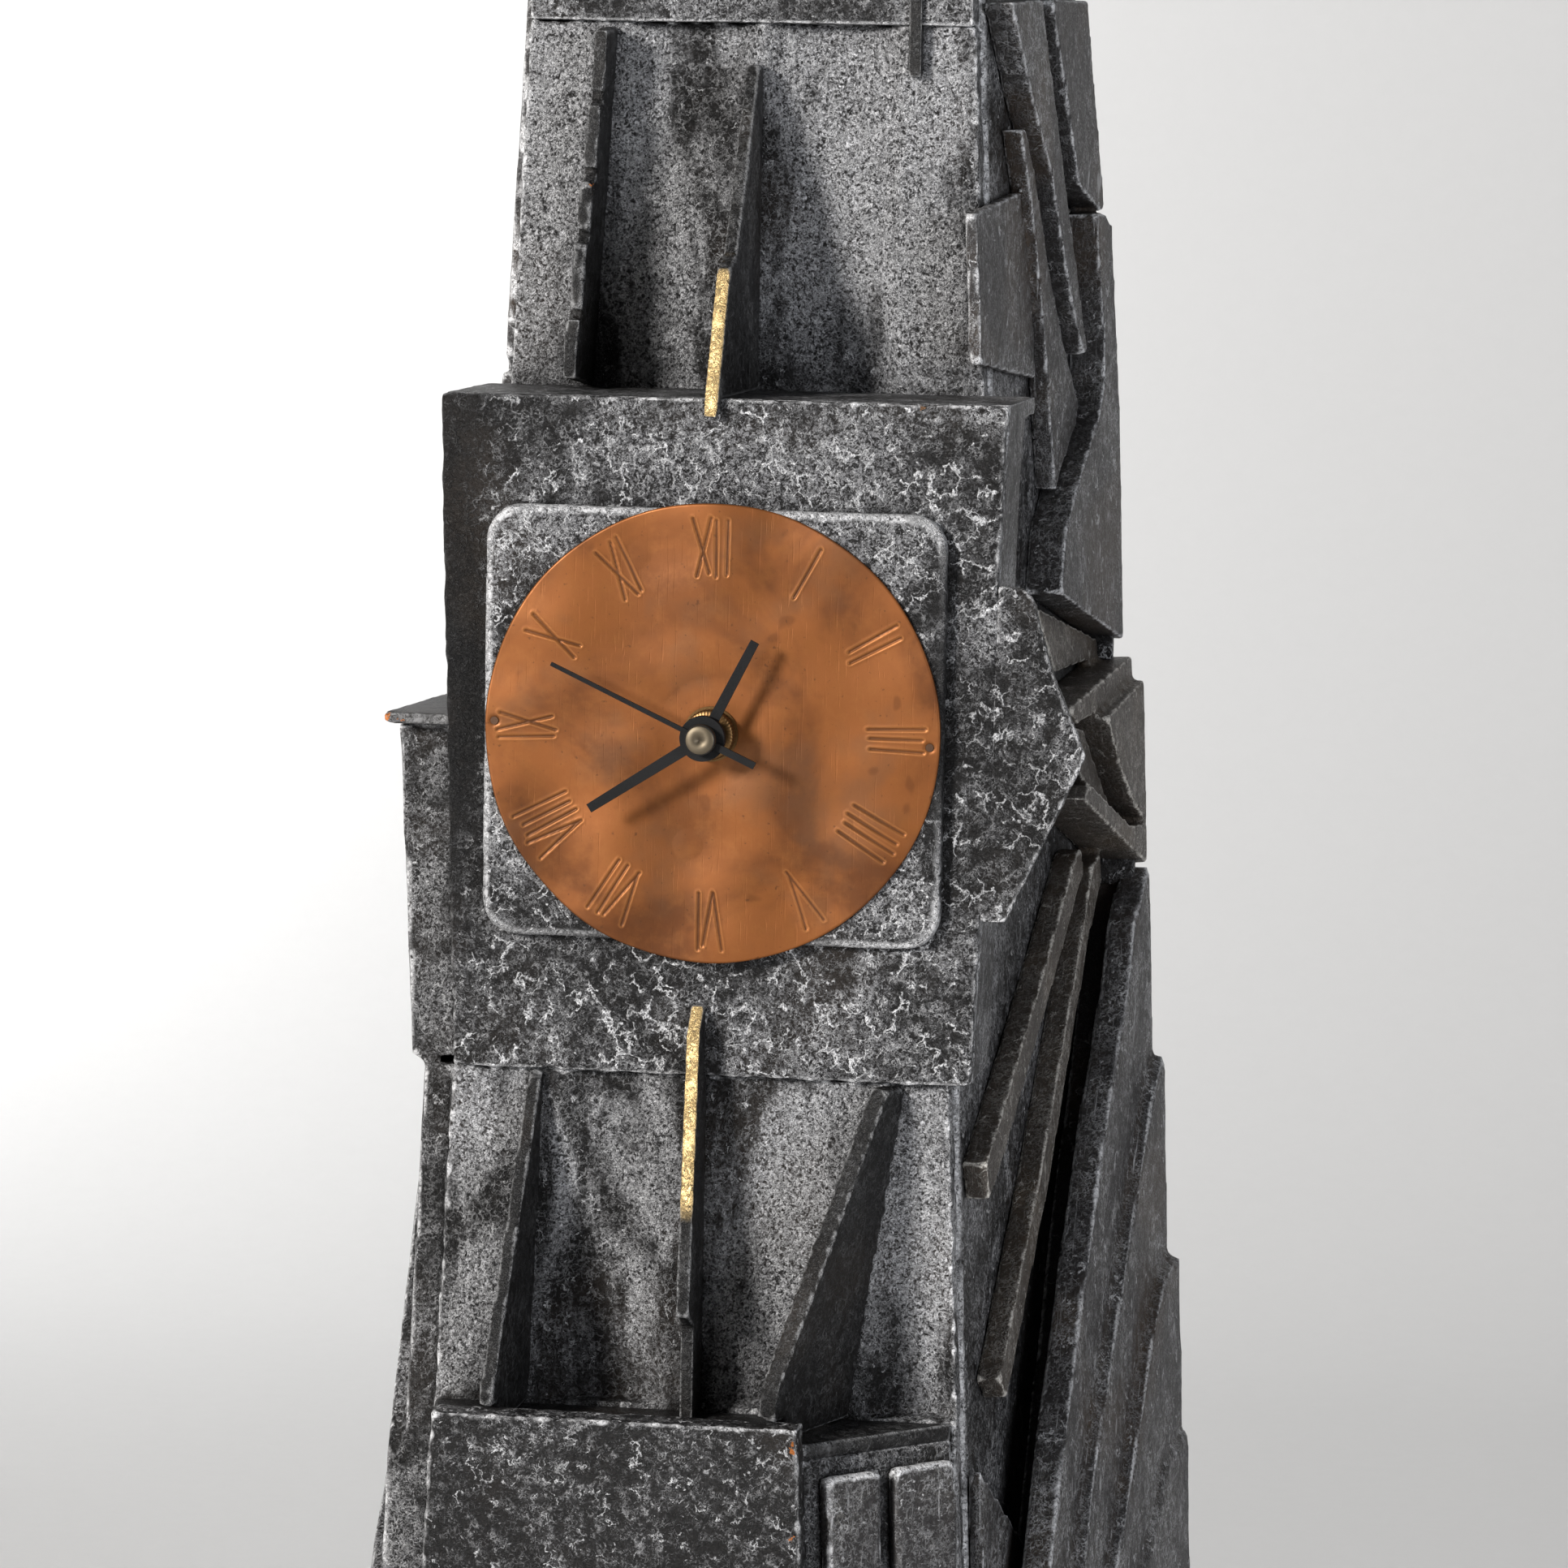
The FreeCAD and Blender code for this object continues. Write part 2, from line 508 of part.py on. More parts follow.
def make_upper_fins():
    """Gilded centre fin, stepped left fin and the short stick at the right."""
    root = "-(Dim.upper_face - Dim.fin_root)"
    over = "Dim.block_top"
    gold = [(root, over), (root, "Dim.gold_fin_top"), ("-Dim.gold_fin_lip", "Dim.gold_fin_top"),
            ("-Dim.gold_fin_notch_face", "Dim.gold_fin_notch"),
            ("-(Dim.gold_fin_notch_face + Dim.gold_fin_step)", "Dim.gold_fin_notch - Dim.fin"),
            ("-Dim.gold_fin_face", over), ("-Dim.gold_fin_face", "Dim.block_top - Dim.gold_fin_hook"),
            ("-Dim.block_face", "Dim.block_top - Dim.gold_fin_hook"), ("-Dim.block_face", over)]
    blank = fin("upper_gold_blank", gold, "Dim.fin", "Dim.gold_fin_x")
    node("upper_gold_fin", cut("upper_gold_fin", blank, [NODES["upper_front_panel"]]))

    height = "(Dim.seam - Dim.block_top - Dim.overrun)"
    stepped = [("-Dim.upper_face", "0"), ("-Dim.upper_face", height)]
    steps = len(STEPPED_FIN_SHARES)
    for i, (low, high) in enumerate(reversed(STEPPED_FIN_SHARES)):
        face = f"-(Dim.upper_face + Dim.stepped_fin_base + Dim.stepped_fin_growth * {i})"
        back = f"({face} + Dim.stepped_fin_gap)"
        if i:
            stepped.append((back, f"{height} * {high}"))
        stepped += [(face, f"{height} * {high}"), (face, f"{height} * {low}")]
        if i < steps - 1:
            stepped.append((back, f"{height} * {low}"))
    node("upper_stepped_fin", fin("upper_stepped_fin", stepped, "Dim.fin",
                                  "-Dim.stepped_fin_x - Dim.fin_root", z="Dim.block_top + Dim.seat",
                                  lean="Dim.stepped_fin_lean"))
    stick = [("-Dim.upper_face", "Dim.stick_fin_foot"), ("-Dim.upper_face", "Dim.seam"),
             ("-(Dim.upper_face + Dim.belfry_proud)", "Dim.seam"),
             ("-(Dim.upper_face + Dim.belfry_proud)", "Dim.stick_fin_top"),
             ("-(Dim.upper_face + Dim.stick_fin_rise)", "Dim.stick_fin_top"),
             ("-(Dim.upper_face + Dim.stick_fin_rise)", "Dim.stick_fin_foot")]
    node("upper_stick_fin", fin("upper_stick_fin", stick, "Dim.fin", "Dim.stick_fin_x"))


def spread_fin(name, face, thick, toe, x, turn, lean):
    """Fin that widens downwards, let into the panel and stepped up over the base's front board."""
    sill = "Dim.base_back_top + 2 * Dim.seat"
    height = "(Dim.left_fin_top - Dim.base_back_top)"
    reach = f"({face} - Dim.lower_face)"
    step = "(Dim.base_face - Dim.base_board - Dim.lower_face - Dim.overrun)"
    rise = "(Dim.base_front_top - Dim.base_back_top + Dim.seat)"
    outline = [("Dim.fin_root", "0"), ("Dim.fin_root", height), (f"-({thick}) / 2", height),
               (f"-{reach}", toe), (f"-{reach}", rise), (f"-{step}", rise), (f"-{step}", "0")]
    blank = fin(f"{name}_blank", outline, thick, x, y="-Dim.lower_face", z=sill, turn=turn, lean=lean)
    node(name, cut(name, blank, [NODES["lower_front_panel"]]))


def make_lower_fins():
    """Two fins that spread over the base block and the gilded one between them."""
    spread_fin("lower_left_fin", "Dim.left_fin_face", "Dim.fin", "Dim.left_fin_toe", "-Dim.left_fin_x",
               "-Dim.left_fin_lean", "Dim.left_fin_lean")
    spread_fin("lower_right_fin", "Dim.right_fin_face", "Dim.right_fin", "Dim.right_fin_toe",
               "Dim.right_fin_x", "-Dim.right_fin_turn", "Dim.right_fin_lean")
    low = "Dim.base_back_top"
    root = "-(Dim.lower_face - Dim.fin_root)"
    set_back = "-(Dim.low_gold_low_face - Dim.low_gold_set_back)"
    gold = [(root, low), (root, "Dim.lower_top"), ("-Dim.block_face", "Dim.lower_top"),
            ("-Dim.block_face", "Dim.low_gold_tip - Dim.fin"),
            ("-(Dim.block_face + Dim.fin / 2)", "Dim.low_gold_tip"),
            ("-Dim.low_gold_top_face", "Dim.low_gold_tip - Dim.fin * 2"),
            ("-Dim.low_gold_low_face", "Dim.low_gold_notch"),
            (set_back, "Dim.low_gold_notch - Dim.fin"), (set_back, low)]
    blank = fin("lower_gold_blank", gold, "Dim.fin", "Dim.low_gold_x")
    node("lower_gold_fin", cut("lower_gold_fin", blank, [NODES["lower_front_panel"]]))


# Cladding of the flanks. Each board is a row of corners as shares of the wall's depth, from its front
# edge, and of the shaft's height; the two numbers before them are its heights off the wall in sheets.

RIGHT_UPPER_SHARES = (
    (0, 1, ((0.154, 0.848), (0.462, 0.855), (0.488, 0.840), (0.535, 0.808),
            (0.548, 0.781), (0.172, 0.790))),
    (0, 1.7, ((0.417, 0.880), (0.452, 0.880), (0.509, 0.862), (0.600, 0.824),
            (0.700, 0.793), (0.800, 0.768), (0.780, 0.760), (0.650, 0.741),
            (0.615, 0.735), (0.572, 0.786), (0.536, 0.815), (0.480, 0.852))),
    (0, 2.4, ((0.310, 0.929), (0.524, 0.931), (0.590, 0.900), (0.650, 0.868),
            (0.745, 0.823), (0.810, 0.790), (0.784, 0.788), (0.697, 0.812),
            (0.565, 0.864), (0.450, 0.890))),
    (0, 2.5, ((0.589, 0.931), (0.858, 0.932), (0.957, 0.8468), (0.924, 0.8462),
            (0.770, 0.857), (0.678, 0.895))),
    (0, 3.1, ((0.840, 0.845), (0.900, 0.845), (0.960, 0.840), (0.995, 0.765),
            (0.995, 0.667), (0.520, 0.695), (0.565, 0.720), (0.660, 0.737),
            (0.829, 0.762), (0.880, 0.776), (0.886, 0.794), (0.856, 0.825))),
)
RIGHT_MIDDLE_SHARES = (
    (0, 1.2, ((0.501, 0.690), (0.995, 0.6662), (0.995, 0.6605), (0.635, 0.661))),
    (0, 3.8, ((0.495, 0.649), (0.995, 0.660), (0.995, 0.651), (0.711, 0.6435), (0.567, 0.6415))),
    (0, 4.8, ((0.700, 0.641), (0.995, 0.6502), (0.995, 0.590), (0.900, 0.600), (0.800, 0.617))),
    (0, 3.2, ((0.600, 0.6395), (0.655, 0.637), (0.860, 0.5985), (0.840, 0.597), (0.600, 0.622))),
    (0, 4.8, ((0.500, 0.613), (0.560, 0.617), (0.870, 0.592), (0.995, 0.5892), (0.995, 0.5725))),
)
# Two long battens that run down and forward from the cluster
RIGHT_BATTEN_SHARES = (
    (0, 2, ((0.012, 0.485), (0.070, 0.4925), (0.412, 0.541), (0.700, 0.585), (0.735, 0.586),
            (0.745, 0.576), (0.460, 0.531), (0.110, 0.4805), (0.030, 0.470))),
    (0, 2, ((0.075, 0.3975), (0.387, 0.466), (0.7186, 0.5475), (0.819, 0.576), (0.880, 0.580),
            (0.885, 0.568), (0.780, 0.548), (0.450, 0.461), (0.120, 0.388))),
)
RIGHT_SHEET_SHARES = (
    (0, 2.5, ((0.990, 0.5715), (0.879, 0.526), (0.613, 0.434), (0.307, 0.310), (0.015, 0.190),
              (0.015, 0.032), (0.995, 0.032), (0.995, 0.5715))),
    (2.5, 5, ((0.985, 0.5712), (0.864, 0.551), (0.804, 0.526), (0.623, 0.480), (0.291, 0.376),
              (0.115, 0.310), (0.035, 0.245), (0.035, 0.036), (0.995, 0.036), (0.995, 0.5712))),
    (5, 6, ((0.990, 0.491), (0.900, 0.480), (0.593, 0.402), (0.362, 0.340), (0.261, 0.302),
            (0.120, 0.205), (0.080, 0.036), (0.995, 0.036), (0.995, 0.491))),
    (6, 7, ((0.990, 0.406), (0.889, 0.402), (0.794, 0.389), (0.613, 0.344), (0.412, 0.294),
            (0.230, 0.180), (0.190, 0.036), (0.995, 0.036), (0.995, 0.406))),
    (7, 7.5, ((0.990, 0.330), (0.814, 0.325), (0.769, 0.312), (0.593, 0.287), (0.430, 0.200),
              (0.370, 0.036), (0.995, 0.036), (0.995, 0.330))),
    (7.5, 8, ((0.975, 0.240), (0.800, 0.205), (0.640, 0.130), (0.580, 0.036), (0.995, 0.036),
              (0.995, 0.240))),
)
RIGHT_FOOT_SHARES = (0, 1.2, ((0.004, 0.365), (0.298, 0.320), (0.004, 0.200)))
LEFT_UPPER_SHARES = (
    (0, 1, ((0.340, 0.800), (0.420, 0.995), (0.600, 0.995), (0.520, 0.790))),
    (0, 2, ((0.540, 0.785), (0.620, 0.990), (0.800, 0.975), (0.755, 0.810), (0.690, 0.765))),
    (0, 1.5, ((0.780, 0.800), (0.820, 0.970), (0.990, 0.930), (0.990, 0.780))),
    (0, 2.5, ((0.600, 0.660), (0.660, 0.740), (0.770, 0.790), (0.990, 0.770), (0.990, 0.680))),
    (0, 1.5, ((0.420, 0.680), (0.400, 0.780), (0.520, 0.780), (0.590, 0.670))),
)
LEFT_SHEET_SHARES = (
    (0, 2.5, ((0.160, 0.515), (0.160, 0.645), (0.995, 0.655), (0.995, 0.036), (0.004, 0.036),
              (0.004, 0.515))),
    (2.5, 3.8, ((0.004, 0.360), (0.250, 0.470), (0.520, 0.600), (0.995, 0.590), (0.995, 0.036),
                (0.004, 0.036))),
    (3.8, 5, ((0.012, 0.300), (0.250, 0.350), (0.620, 0.430), (0.995, 0.420), (0.995, 0.036),
              (0.012, 0.036))),
    (5, 6, ((0.060, 0.180), (0.300, 0.260), (0.700, 0.300), (0.995, 0.280), (0.995, 0.036),
            (0.050, 0.036))),
)
# The board under the ledge leans out from the left sheets; shares of the wall's depth and of its height
LEFT_LEANING_SHARES = ((0.004, 0), (0.300, 0), (0.240, 0.80), (0.180, 1), (0.004, 1))


def clad(name, side, low, high, shares):
    """One board of the cladding, from a height off the wall to another."""
    outline = [(f"-(Dim.lower_face - Dim.panel) + (Dim.lower_face - Dim.panel + Dim.back_face) * {u}",
                f"Dim.shaft_top * {v}") for u, v in shares]
    sign = "-" if side == "left" else ""
    return board(name, "YZ_Plane", outline, f"Dim.sheet * {high - low:.3f}", wall_place(side),
                 offset=f"{sign}Dim.sheet * {low}", flip=side == "left")


def make_right_cladding():
    """Shards above the dial, the cluster beside it and the long stacked sheets below."""
    group("right_upper_shards", [clad(f"right_shard_{i}", "right", *row)
                                 for i, row in enumerate(RIGHT_UPPER_SHARES)])
    rows = RIGHT_MIDDLE_SHARES + RIGHT_BATTEN_SHARES
    group("right_cluster_boards", [clad(f"right_cluster_{i}", "right", *row)
                                   for i, row in enumerate(rows)])
    rows = RIGHT_SHEET_SHARES + (RIGHT_FOOT_SHARES,)
    group("right_long_sheets", [clad(f"right_sheet_{i}", "right", *row)
                                for i, row in enumerate(rows)])


def make_left_cladding():
    """The left flank, clad in the same way."""
    group("left_upper_shards", [clad(f"left_shard_{i}", "left", *row)
                                for i, row in enumerate(LEFT_UPPER_SHARES)])
    sheets = [clad(f"left_sheet_{i}", "left", *row) for i, row in enumerate(LEFT_SHEET_SHARES)]
    depth = "(Dim.lower_face - Dim.panel + Dim.back_face)"
    outline = [(f"-(Dim.lower_face - Dim.panel) + {depth} * {u}",
                f"(Dim.ledge_top - Dim.ledge - Dim.lower_top - Dim.seat) * {v}")
               for u, v in LEFT_LEANING_SHARES]
    under = LEFT_SHEET_SHARES[0][1]
    place = (f"{wall_place('left')} * placement(vector(-Dim.sheet * {under}; 0; Dim.lower_top);"
             " rotation(vector(0; 1; 0); -Dim.side_lean))")
    sheets.append(board("left_leaning_board", "YZ_Plane", outline, "Dim.sheet", place, flip=True))
    corners = []
    for z in ("(Dim.lower_top + Dim.seat)", "(Dim.ledge_top - Dim.ledge - 2 * Dim.seat)"):
        outer = (f"-({half('-(Dim.lower_face - Dim.panel)', z)} + Dim.sheet * {under} - Dim.seat"
                 f" + ({z} - Dim.lower_top) * tan(Dim.side_lean))")
        corners.append([(f"{block_edge('left', z)} - Dim.seat", z), (outer, z)])
    gusset = corners[0] + corners[1][::-1]
    sheets.append(front_board("left_gusset", gusset, "Dim.sheet", "Dim.lower_face - Dim.panel"))
    group("left_sheets", sheets)


# Steeple

SPIRE_FOOT = "(Dim.shaft_top + Dim.deck)"
SPIRE_TOP = f"({SPIRE_FOOT} + Dim.spire_rise)"
SPIRE_TAPER = "(atan((Dim.spire_half - Dim.spire_tip_half) / Dim.spire_rise))"
# Shards of the steeple: thickness in sheets, then corners as shares of half its depth and of its rise
SPIRE_SHARD_SHARES = (
    (1, ((-0.85, 0.02), (-0.42, 0.02), (-0.36, 0.58), (-0.42, 0.66), (-0.62, 0.40))),
    (1.6, ((0.56, 0.02), (0.92, 0.02), (0.70, 0.36), (0.52, 0.56), (0.47, 0.50))),
)


def spire_side(z):
    """X of the steeple's right face at a height."""
    return (f"(Dim.spire_half - (Dim.spire_half - Dim.spire_tip_half) * ({z} - {SPIRE_FOOT})"
            " / Dim.spire_rise)")


def make_steeple():
    """Deck, tapering core, its fins and the shards on its sides."""
    lip = "Dim.deck_lip"
    front = f"-(Dim.upper_face + Dim.belfry_proud + {lip})"
    back = f"Dim.back_face + {lip}"
    deck = [(f"-({half('-Dim.upper_face', 'Dim.shaft_top')} + {lip})", front),
            (f"{half('-Dim.upper_face', 'Dim.shaft_top')} + {lip}", front),
            (f"{half('Dim.back_face', 'Dim.shaft_top')} + {lip}", back),
            (f"-({half('Dim.back_face', 'Dim.shaft_top')} + {lip})", back)]
    node("crown_deck", board("crown_deck", "XY_Plane", deck, "Dim.deck", offset="Dim.shaft_top"))
    low = [("-Dim.spire_half", "-Dim.spire_front"), ("Dim.spire_half", "-Dim.spire_front"),
           ("Dim.spire_half", "Dim.spire_back"), ("-Dim.spire_half", "Dim.spire_back")]
    high = [("-Dim.spire_tip_half", "-Dim.spire_tip_front"),
            ("Dim.spire_tip_half", "-Dim.spire_tip_front"),
            ("Dim.spire_tip_half", "Dim.spire_tip_back"),
            ("-Dim.spire_tip_half", "Dim.spire_tip_back")]
    node("spire_core", loft("spire_core", low, SPIRE_FOOT, high, SPIRE_TOP))

    middle = "(Dim.spire_tip_back - Dim.spire_tip_front) / 2"
    crest_top = f"{SPIRE_TOP} + Dim.spire_crest_rise"
    crest = [("-Dim.spire_front", SPIRE_FOOT), ("-Dim.spire_tip_front", SPIRE_TOP),
             ("Dim.spire_tip_back", SPIRE_TOP), (f"{middle} + Dim.spire_fin", crest_top),
             (middle, crest_top),
             ("-Dim.spire_tip_front - Dim.spire_fin_reach / 2", SPIRE_TOP),
             ("-Dim.spire_front - Dim.spire_fin_foot_reach", f"{SPIRE_FOOT} + Dim.spire_fin_reach"),
             ("-Dim.spire_front - Dim.spire_fin_foot_reach", SPIRE_FOOT)]
    fins = [fin("spire_crest", crest, "Dim.spire_fin", "Dim.gold_fin_x")]
    for i, (y, drop) in enumerate((("Dim.spire_blade_front", "Dim.spire_blade_drop"),
                                   ("Dim.spire_blade_rear", "Dim.spire_blade_low_drop"))):
        top = f"({SPIRE_TOP} - {drop})"
        for side, sign in (("left", "-"), ("right", "")):
            outline = [(f"{sign}{spire_side(SPIRE_FOOT)}", SPIRE_FOOT),
                       (f"{sign}({spire_side(SPIRE_FOOT)} + Dim.spire_fin_reach)", SPIRE_FOOT),
                       (f"{sign}({spire_side(top)} + Dim.spire_fin_foot_reach)", top),
                       (f"{sign}{spire_side(top)}", top)]
            fins.append(front_board(f"spire_blade_{side}_{i}", outline, "Dim.spire_fin", f"-({y})"))
    group("spire_fins", fins)

    shards = []
    depth = "((Dim.spire_back + Dim.spire_front) / 2)"
    for side, sign, other in (("left", "-", ""), ("right", "", "-")):
        place = (f"placement(vector({sign}Dim.spire_half; (Dim.spire_back - Dim.spire_front) / 2;"
                 f" {SPIRE_FOOT}); rotation(vector(0; 1; 0); {other}{SPIRE_TAPER}))")
        for i, (sheets, shares) in enumerate(SPIRE_SHARD_SHARES):
            outline = [(f"{depth} * ({u})", f"Dim.spire_shard_rise + Dim.spire_rise * {v}")
                       for u, v in shares]
            shards.append(board(f"spire_shard_{side}_{i}", "YZ_Plane", outline,
                                f"Dim.sheet * {sheets}", place, flip=side == "left"))
    group("spire_shards", shards)


# Back door

HINGE_X = "(Dim.dial_x + Dim.door_half_width - Dim.door_gap / 2)"
HINGE_Y = "(Dim.back_face + Dim.knuckle)"
BUTTON_X = "(Dim.dial_x - Dim.door_half_width - Dim.button_offset)"
BUTTON_HEAD = "(Dim.back_face + 2 * Dim.button_play + Dim.button_thick)"
BUTTON_SCREW_TIP = f"(Dim.button_screw_length - {BUTTON_HEAD})"
KNUCKLE = "(Dim.hinge_height / 3)"
HINGE_SCREW_SHARES = ("1 / 6", "5 / 6")


def knuckle(name, low, height, bore):
    """One barrel of a hinge, bored for the pin."""
    barrel = post(name + "_barrel", HINGE_X, HINGE_Y, low, "Dim.knuckle", height)
    hole = post(name + "_bore", HINGE_X, HINGE_Y, f"{low} - Dim.overrun", bore,
                f"{height} + 2 * Dim.overrun")
    return barrel, hole


def hinge_half(name, foot, side):
    """Leaf of one hinge with its knuckles: two on the board's half, one on the door's."""
    clear = "(Dim.knuckle + Dim.knuckle_gap * 2)"
    width = f"(Dim.hinge_reach - {clear})"
    start = f"{HINGE_X} + {clear}" if side == "fixed" else f"{HINGE_X} - Dim.hinge_reach"
    solids = [box(name + "_leaf", start, "Dim.back_face", foot, width, "Dim.hinge_leaf",
                  "Dim.hinge_height")]
    holes = []
    if side == "fixed":
        rows = ((foot, f"{KNUCKLE} - Dim.knuckle_gap"),
                (f"{foot} + 2 * {KNUCKLE} + Dim.knuckle_gap", f"{KNUCKLE} - Dim.knuckle_gap"))
        bore, tab = "Dim.pin_radius", HINGE_X
    else:
        rows = ((f"{foot} + {KNUCKLE}", KNUCKLE),)
        bore, tab = "Dim.pin_radius + Dim.pin_play", f"{HINGE_X} - {clear}"
    for i, (low, height) in enumerate(rows):
        barrel, hole = knuckle(f"{name}_{i}", low, height, bore)
        solids += [barrel, box(f"{name}_tab_{i}", tab, "Dim.back_face", low, clear,
                               "Dim.hinge_leaf", height)]
        holes.append(hole)
    screw_x = f"{start} + {width} / 2"
    for i, share in enumerate(HINGE_SCREW_SHARES):
        solids.append(rod(f"{name}_screw_{i}", screw_x, f"{foot} + Dim.hinge_height * {share}",
                          "Dim.screw_head", "-Dim.back_face - Dim.hinge_leaf",
                          "-Dim.back_face - Dim.hinge_leaf - Dim.screw_head_height"))
    return cut(name, fuse(name + "_solid", solids), holes)


def make_door():
    """Door in the back board, its two hinges and the turn button that holds it shut."""
    left = "Dim.dial_x - Dim.door_half_width + Dim.door_gap"
    right = "Dim.dial_x + Dim.door_half_width - Dim.door_gap"
    low, high = "Dim.door_low + Dim.door_gap", "Dim.door_high - Dim.door_gap"
    outline = [(left, low), (right, low), (right, high), (left, high)]
    node("rear_door", front_board("rear_door", outline, "Dim.back_board",
                                  "-(Dim.back_face - Dim.back_board)"))
    feet = ("Dim.hinge_low - Dim.hinge_height / 2", "Dim.hinge_high - Dim.hinge_height / 2")
    for side in ("fixed", "door"):
        group(f"hinge_leaves_{side}", [hinge_half(f"hinge_{side}_{i}", f"({foot})", side)
                                       for i, foot in enumerate(feet)])
    pins = []
    for i, foot in enumerate(feet):
        shank = post(f"hinge_shank_{i}", HINGE_X, HINGE_Y, foot, "Dim.pin_radius", "Dim.hinge_height")
        head = post(f"hinge_head_{i}", HINGE_X, HINGE_Y, f"{foot} + Dim.hinge_height",
                    "Dim.pin_head", "Dim.pin_head_height")
        pins.append(fuse(f"hinge_pin_{i}", [shank, head]))
    group("hinge_pins", pins)

    button_back = "Dim.back_face + Dim.button_play"
    size = "Dim.button_length / 2"
    shape = [("-Dim.button_width / 2", f"-{size}"), ("Dim.button_width / 2", f"-{size}"),
             ("Dim.button_width / 2", size), ("-Dim.button_width / 2", size)]
    place = (f"placement(vector({BUTTON_X}; {button_back} + Dim.button_thick; Dim.dial_z);"
             " rotation(vector(0; 0; 1); 0))")
    blank = board("button_blank", "XZ_Plane", shape, "Dim.button_thick", place)
    hole = rod("button_bore", BUTTON_X, "Dim.dial_z", "Dim.button_screw + Dim.button_screw_play",
               "-Dim.back_face", f"-({button_back} + Dim.button_thick + Dim.overrun)")
    node("turn_button", cut("turn_button", blank, [hole]))
    shank = rod("button_shank", BUTTON_X, "Dim.dial_z", "Dim.button_screw", BUTTON_SCREW_TIP,
                f"-{BUTTON_HEAD}")
    head = rod("button_head", BUTTON_X, "Dim.dial_z", "Dim.button_screw_head", f"-{BUTTON_HEAD}",
               f"-{BUTTON_HEAD} - Dim.button_screw_head_height")
    node("turn_button_screw", fuse("turn_button_screw", [shank, head]))


# Dial

DIAL_FACE = "(Dim.block_face + Dim.pad_rise + Dim.dial_thick)"
PIN_BEARINGS = ("Dim.dial_pin_turn", "180 + Dim.dial_pin_turn")


def dial_pin_rods(name, radius, front, back):
    """Cylinders at the two places where the dial is pinned."""
    return [rod(f"{name}_{i}", *beside(CENTRE, "(Dim.dial_radius - Dim.dial_hole_inset)", bearing),
                radius, front, back) for i, bearing in enumerate(PIN_BEARINGS)]


def make_dial():
    """Disc of copper sheet, pinned to the pad at its left and right."""
    disc = rod("dial_disc", *CENTRE, "Dim.dial_radius", DIAL_FACE, "Dim.block_face + Dim.pad_rise")
    hole = rod("dial_bore", *CENTRE, "Dim.bush_radius + Dim.bush_hole_play",
               f"{DIAL_FACE} + Dim.overrun", "Dim.block_face")
    pin_holes = dial_pin_rods("dial_pin_hole", "Dim.dial_pin", f"{DIAL_FACE} + Dim.overrun",
                              "Dim.block_face")
    node("copper_dial", cut("copper_dial", disc, [hole] + pin_holes))
    shanks = dial_pin_rods("dial_pin_shank", "Dim.dial_pin", DIAL_FACE, "Dim.block_face")
    heads = dial_pin_rods("dial_pin_head", "Dim.dial_pin_head", f"{DIAL_FACE} + Dim.dial_pin_rise",
                          DIAL_FACE)
    group("dial_pins", [fuse(f"dial_pin_{i}", list(pair)) for i, pair in enumerate(zip(shanks, heads))])


# Movement: places of its arbors, its layers of wheels, and the teeth

THIRD_DISTANCE = "(Dim.third_module * (Dim.third_wheel + Dim.second_pinion) / 2)"
STEP_DISTANCE = "(Dim.second_module * (Dim.second_wheel + Dim.step_pinion) / 2)"
ROTOR_DISTANCE = "(Dim.step_module * (Dim.step_wheel + Dim.rotor_pinion) / 2)"
MOTION_DISTANCE = "(Dim.motion_module * (Dim.motion_wheel + Dim.cannon_pinion) / 2)"
SETTING_DISTANCE = "(Dim.motion_module * (Dim.motion_wheel + Dim.setting_wheel) / 2)"
MINUTE_MODULE = f"(2 * {THIRD_DISTANCE} / (Dim.minute_wheel + Dim.third_pinion))"
HOUR_MODULE = f"(2 * {MOTION_DISTANCE} / (Dim.hour_wheel + Dim.motion_pinion))"
THIRD = beside(CENTRE, THIRD_DISTANCE, "Dim.third_bearing")
STEP = beside(CENTRE, STEP_DISTANCE, "Dim.step_bearing")
ROTOR = beside(STEP, ROTOR_DISTANCE, "Dim.rotor_bearing")
MOTION = beside(CENTRE, MOTION_DISTANCE, "Dim.motion_bearing")
SETTING = beside(MOTION, SETTING_DISTANCE, "Dim.setting_bearing")

CASE_FRONT = "(Dim.block_face - Dim.block_front)"
CASE_BACK = f"({CASE_FRONT} - Dim.case_depth)"
INNER_FRONT = f"({CASE_FRONT} - Dim.case_wall)"
INNER_BACK = f"({CASE_BACK} + Dim.case_wall)"
SPLIT = f"({CASE_FRONT} - Dim.case_split)"
BUSH_END = f"({DIAL_FACE} + Dim.bush_reach)"
LAYERS = ("hour", "motion", "minute", "third", "second", "step", "rotor")

# Teeth in modules and pitches: addendum, dedendum, width at the root, width at the tip
TOOTH_SHARES = {"wheel": (0.80, 0.60, 0.50, 0.22), "pinion": (0.35, 1.10, 0.34, 0.22)}


def layer(name):
    """Front and back of the layer that a wheel turns in."""
    front = f"({INNER_FRONT} - Dim.layer_gap - {LAYERS.index(name)} * (Dim.wheel_thick + Dim.layer_gap))"
    return front, f"({front} - Dim.wheel_thick)"


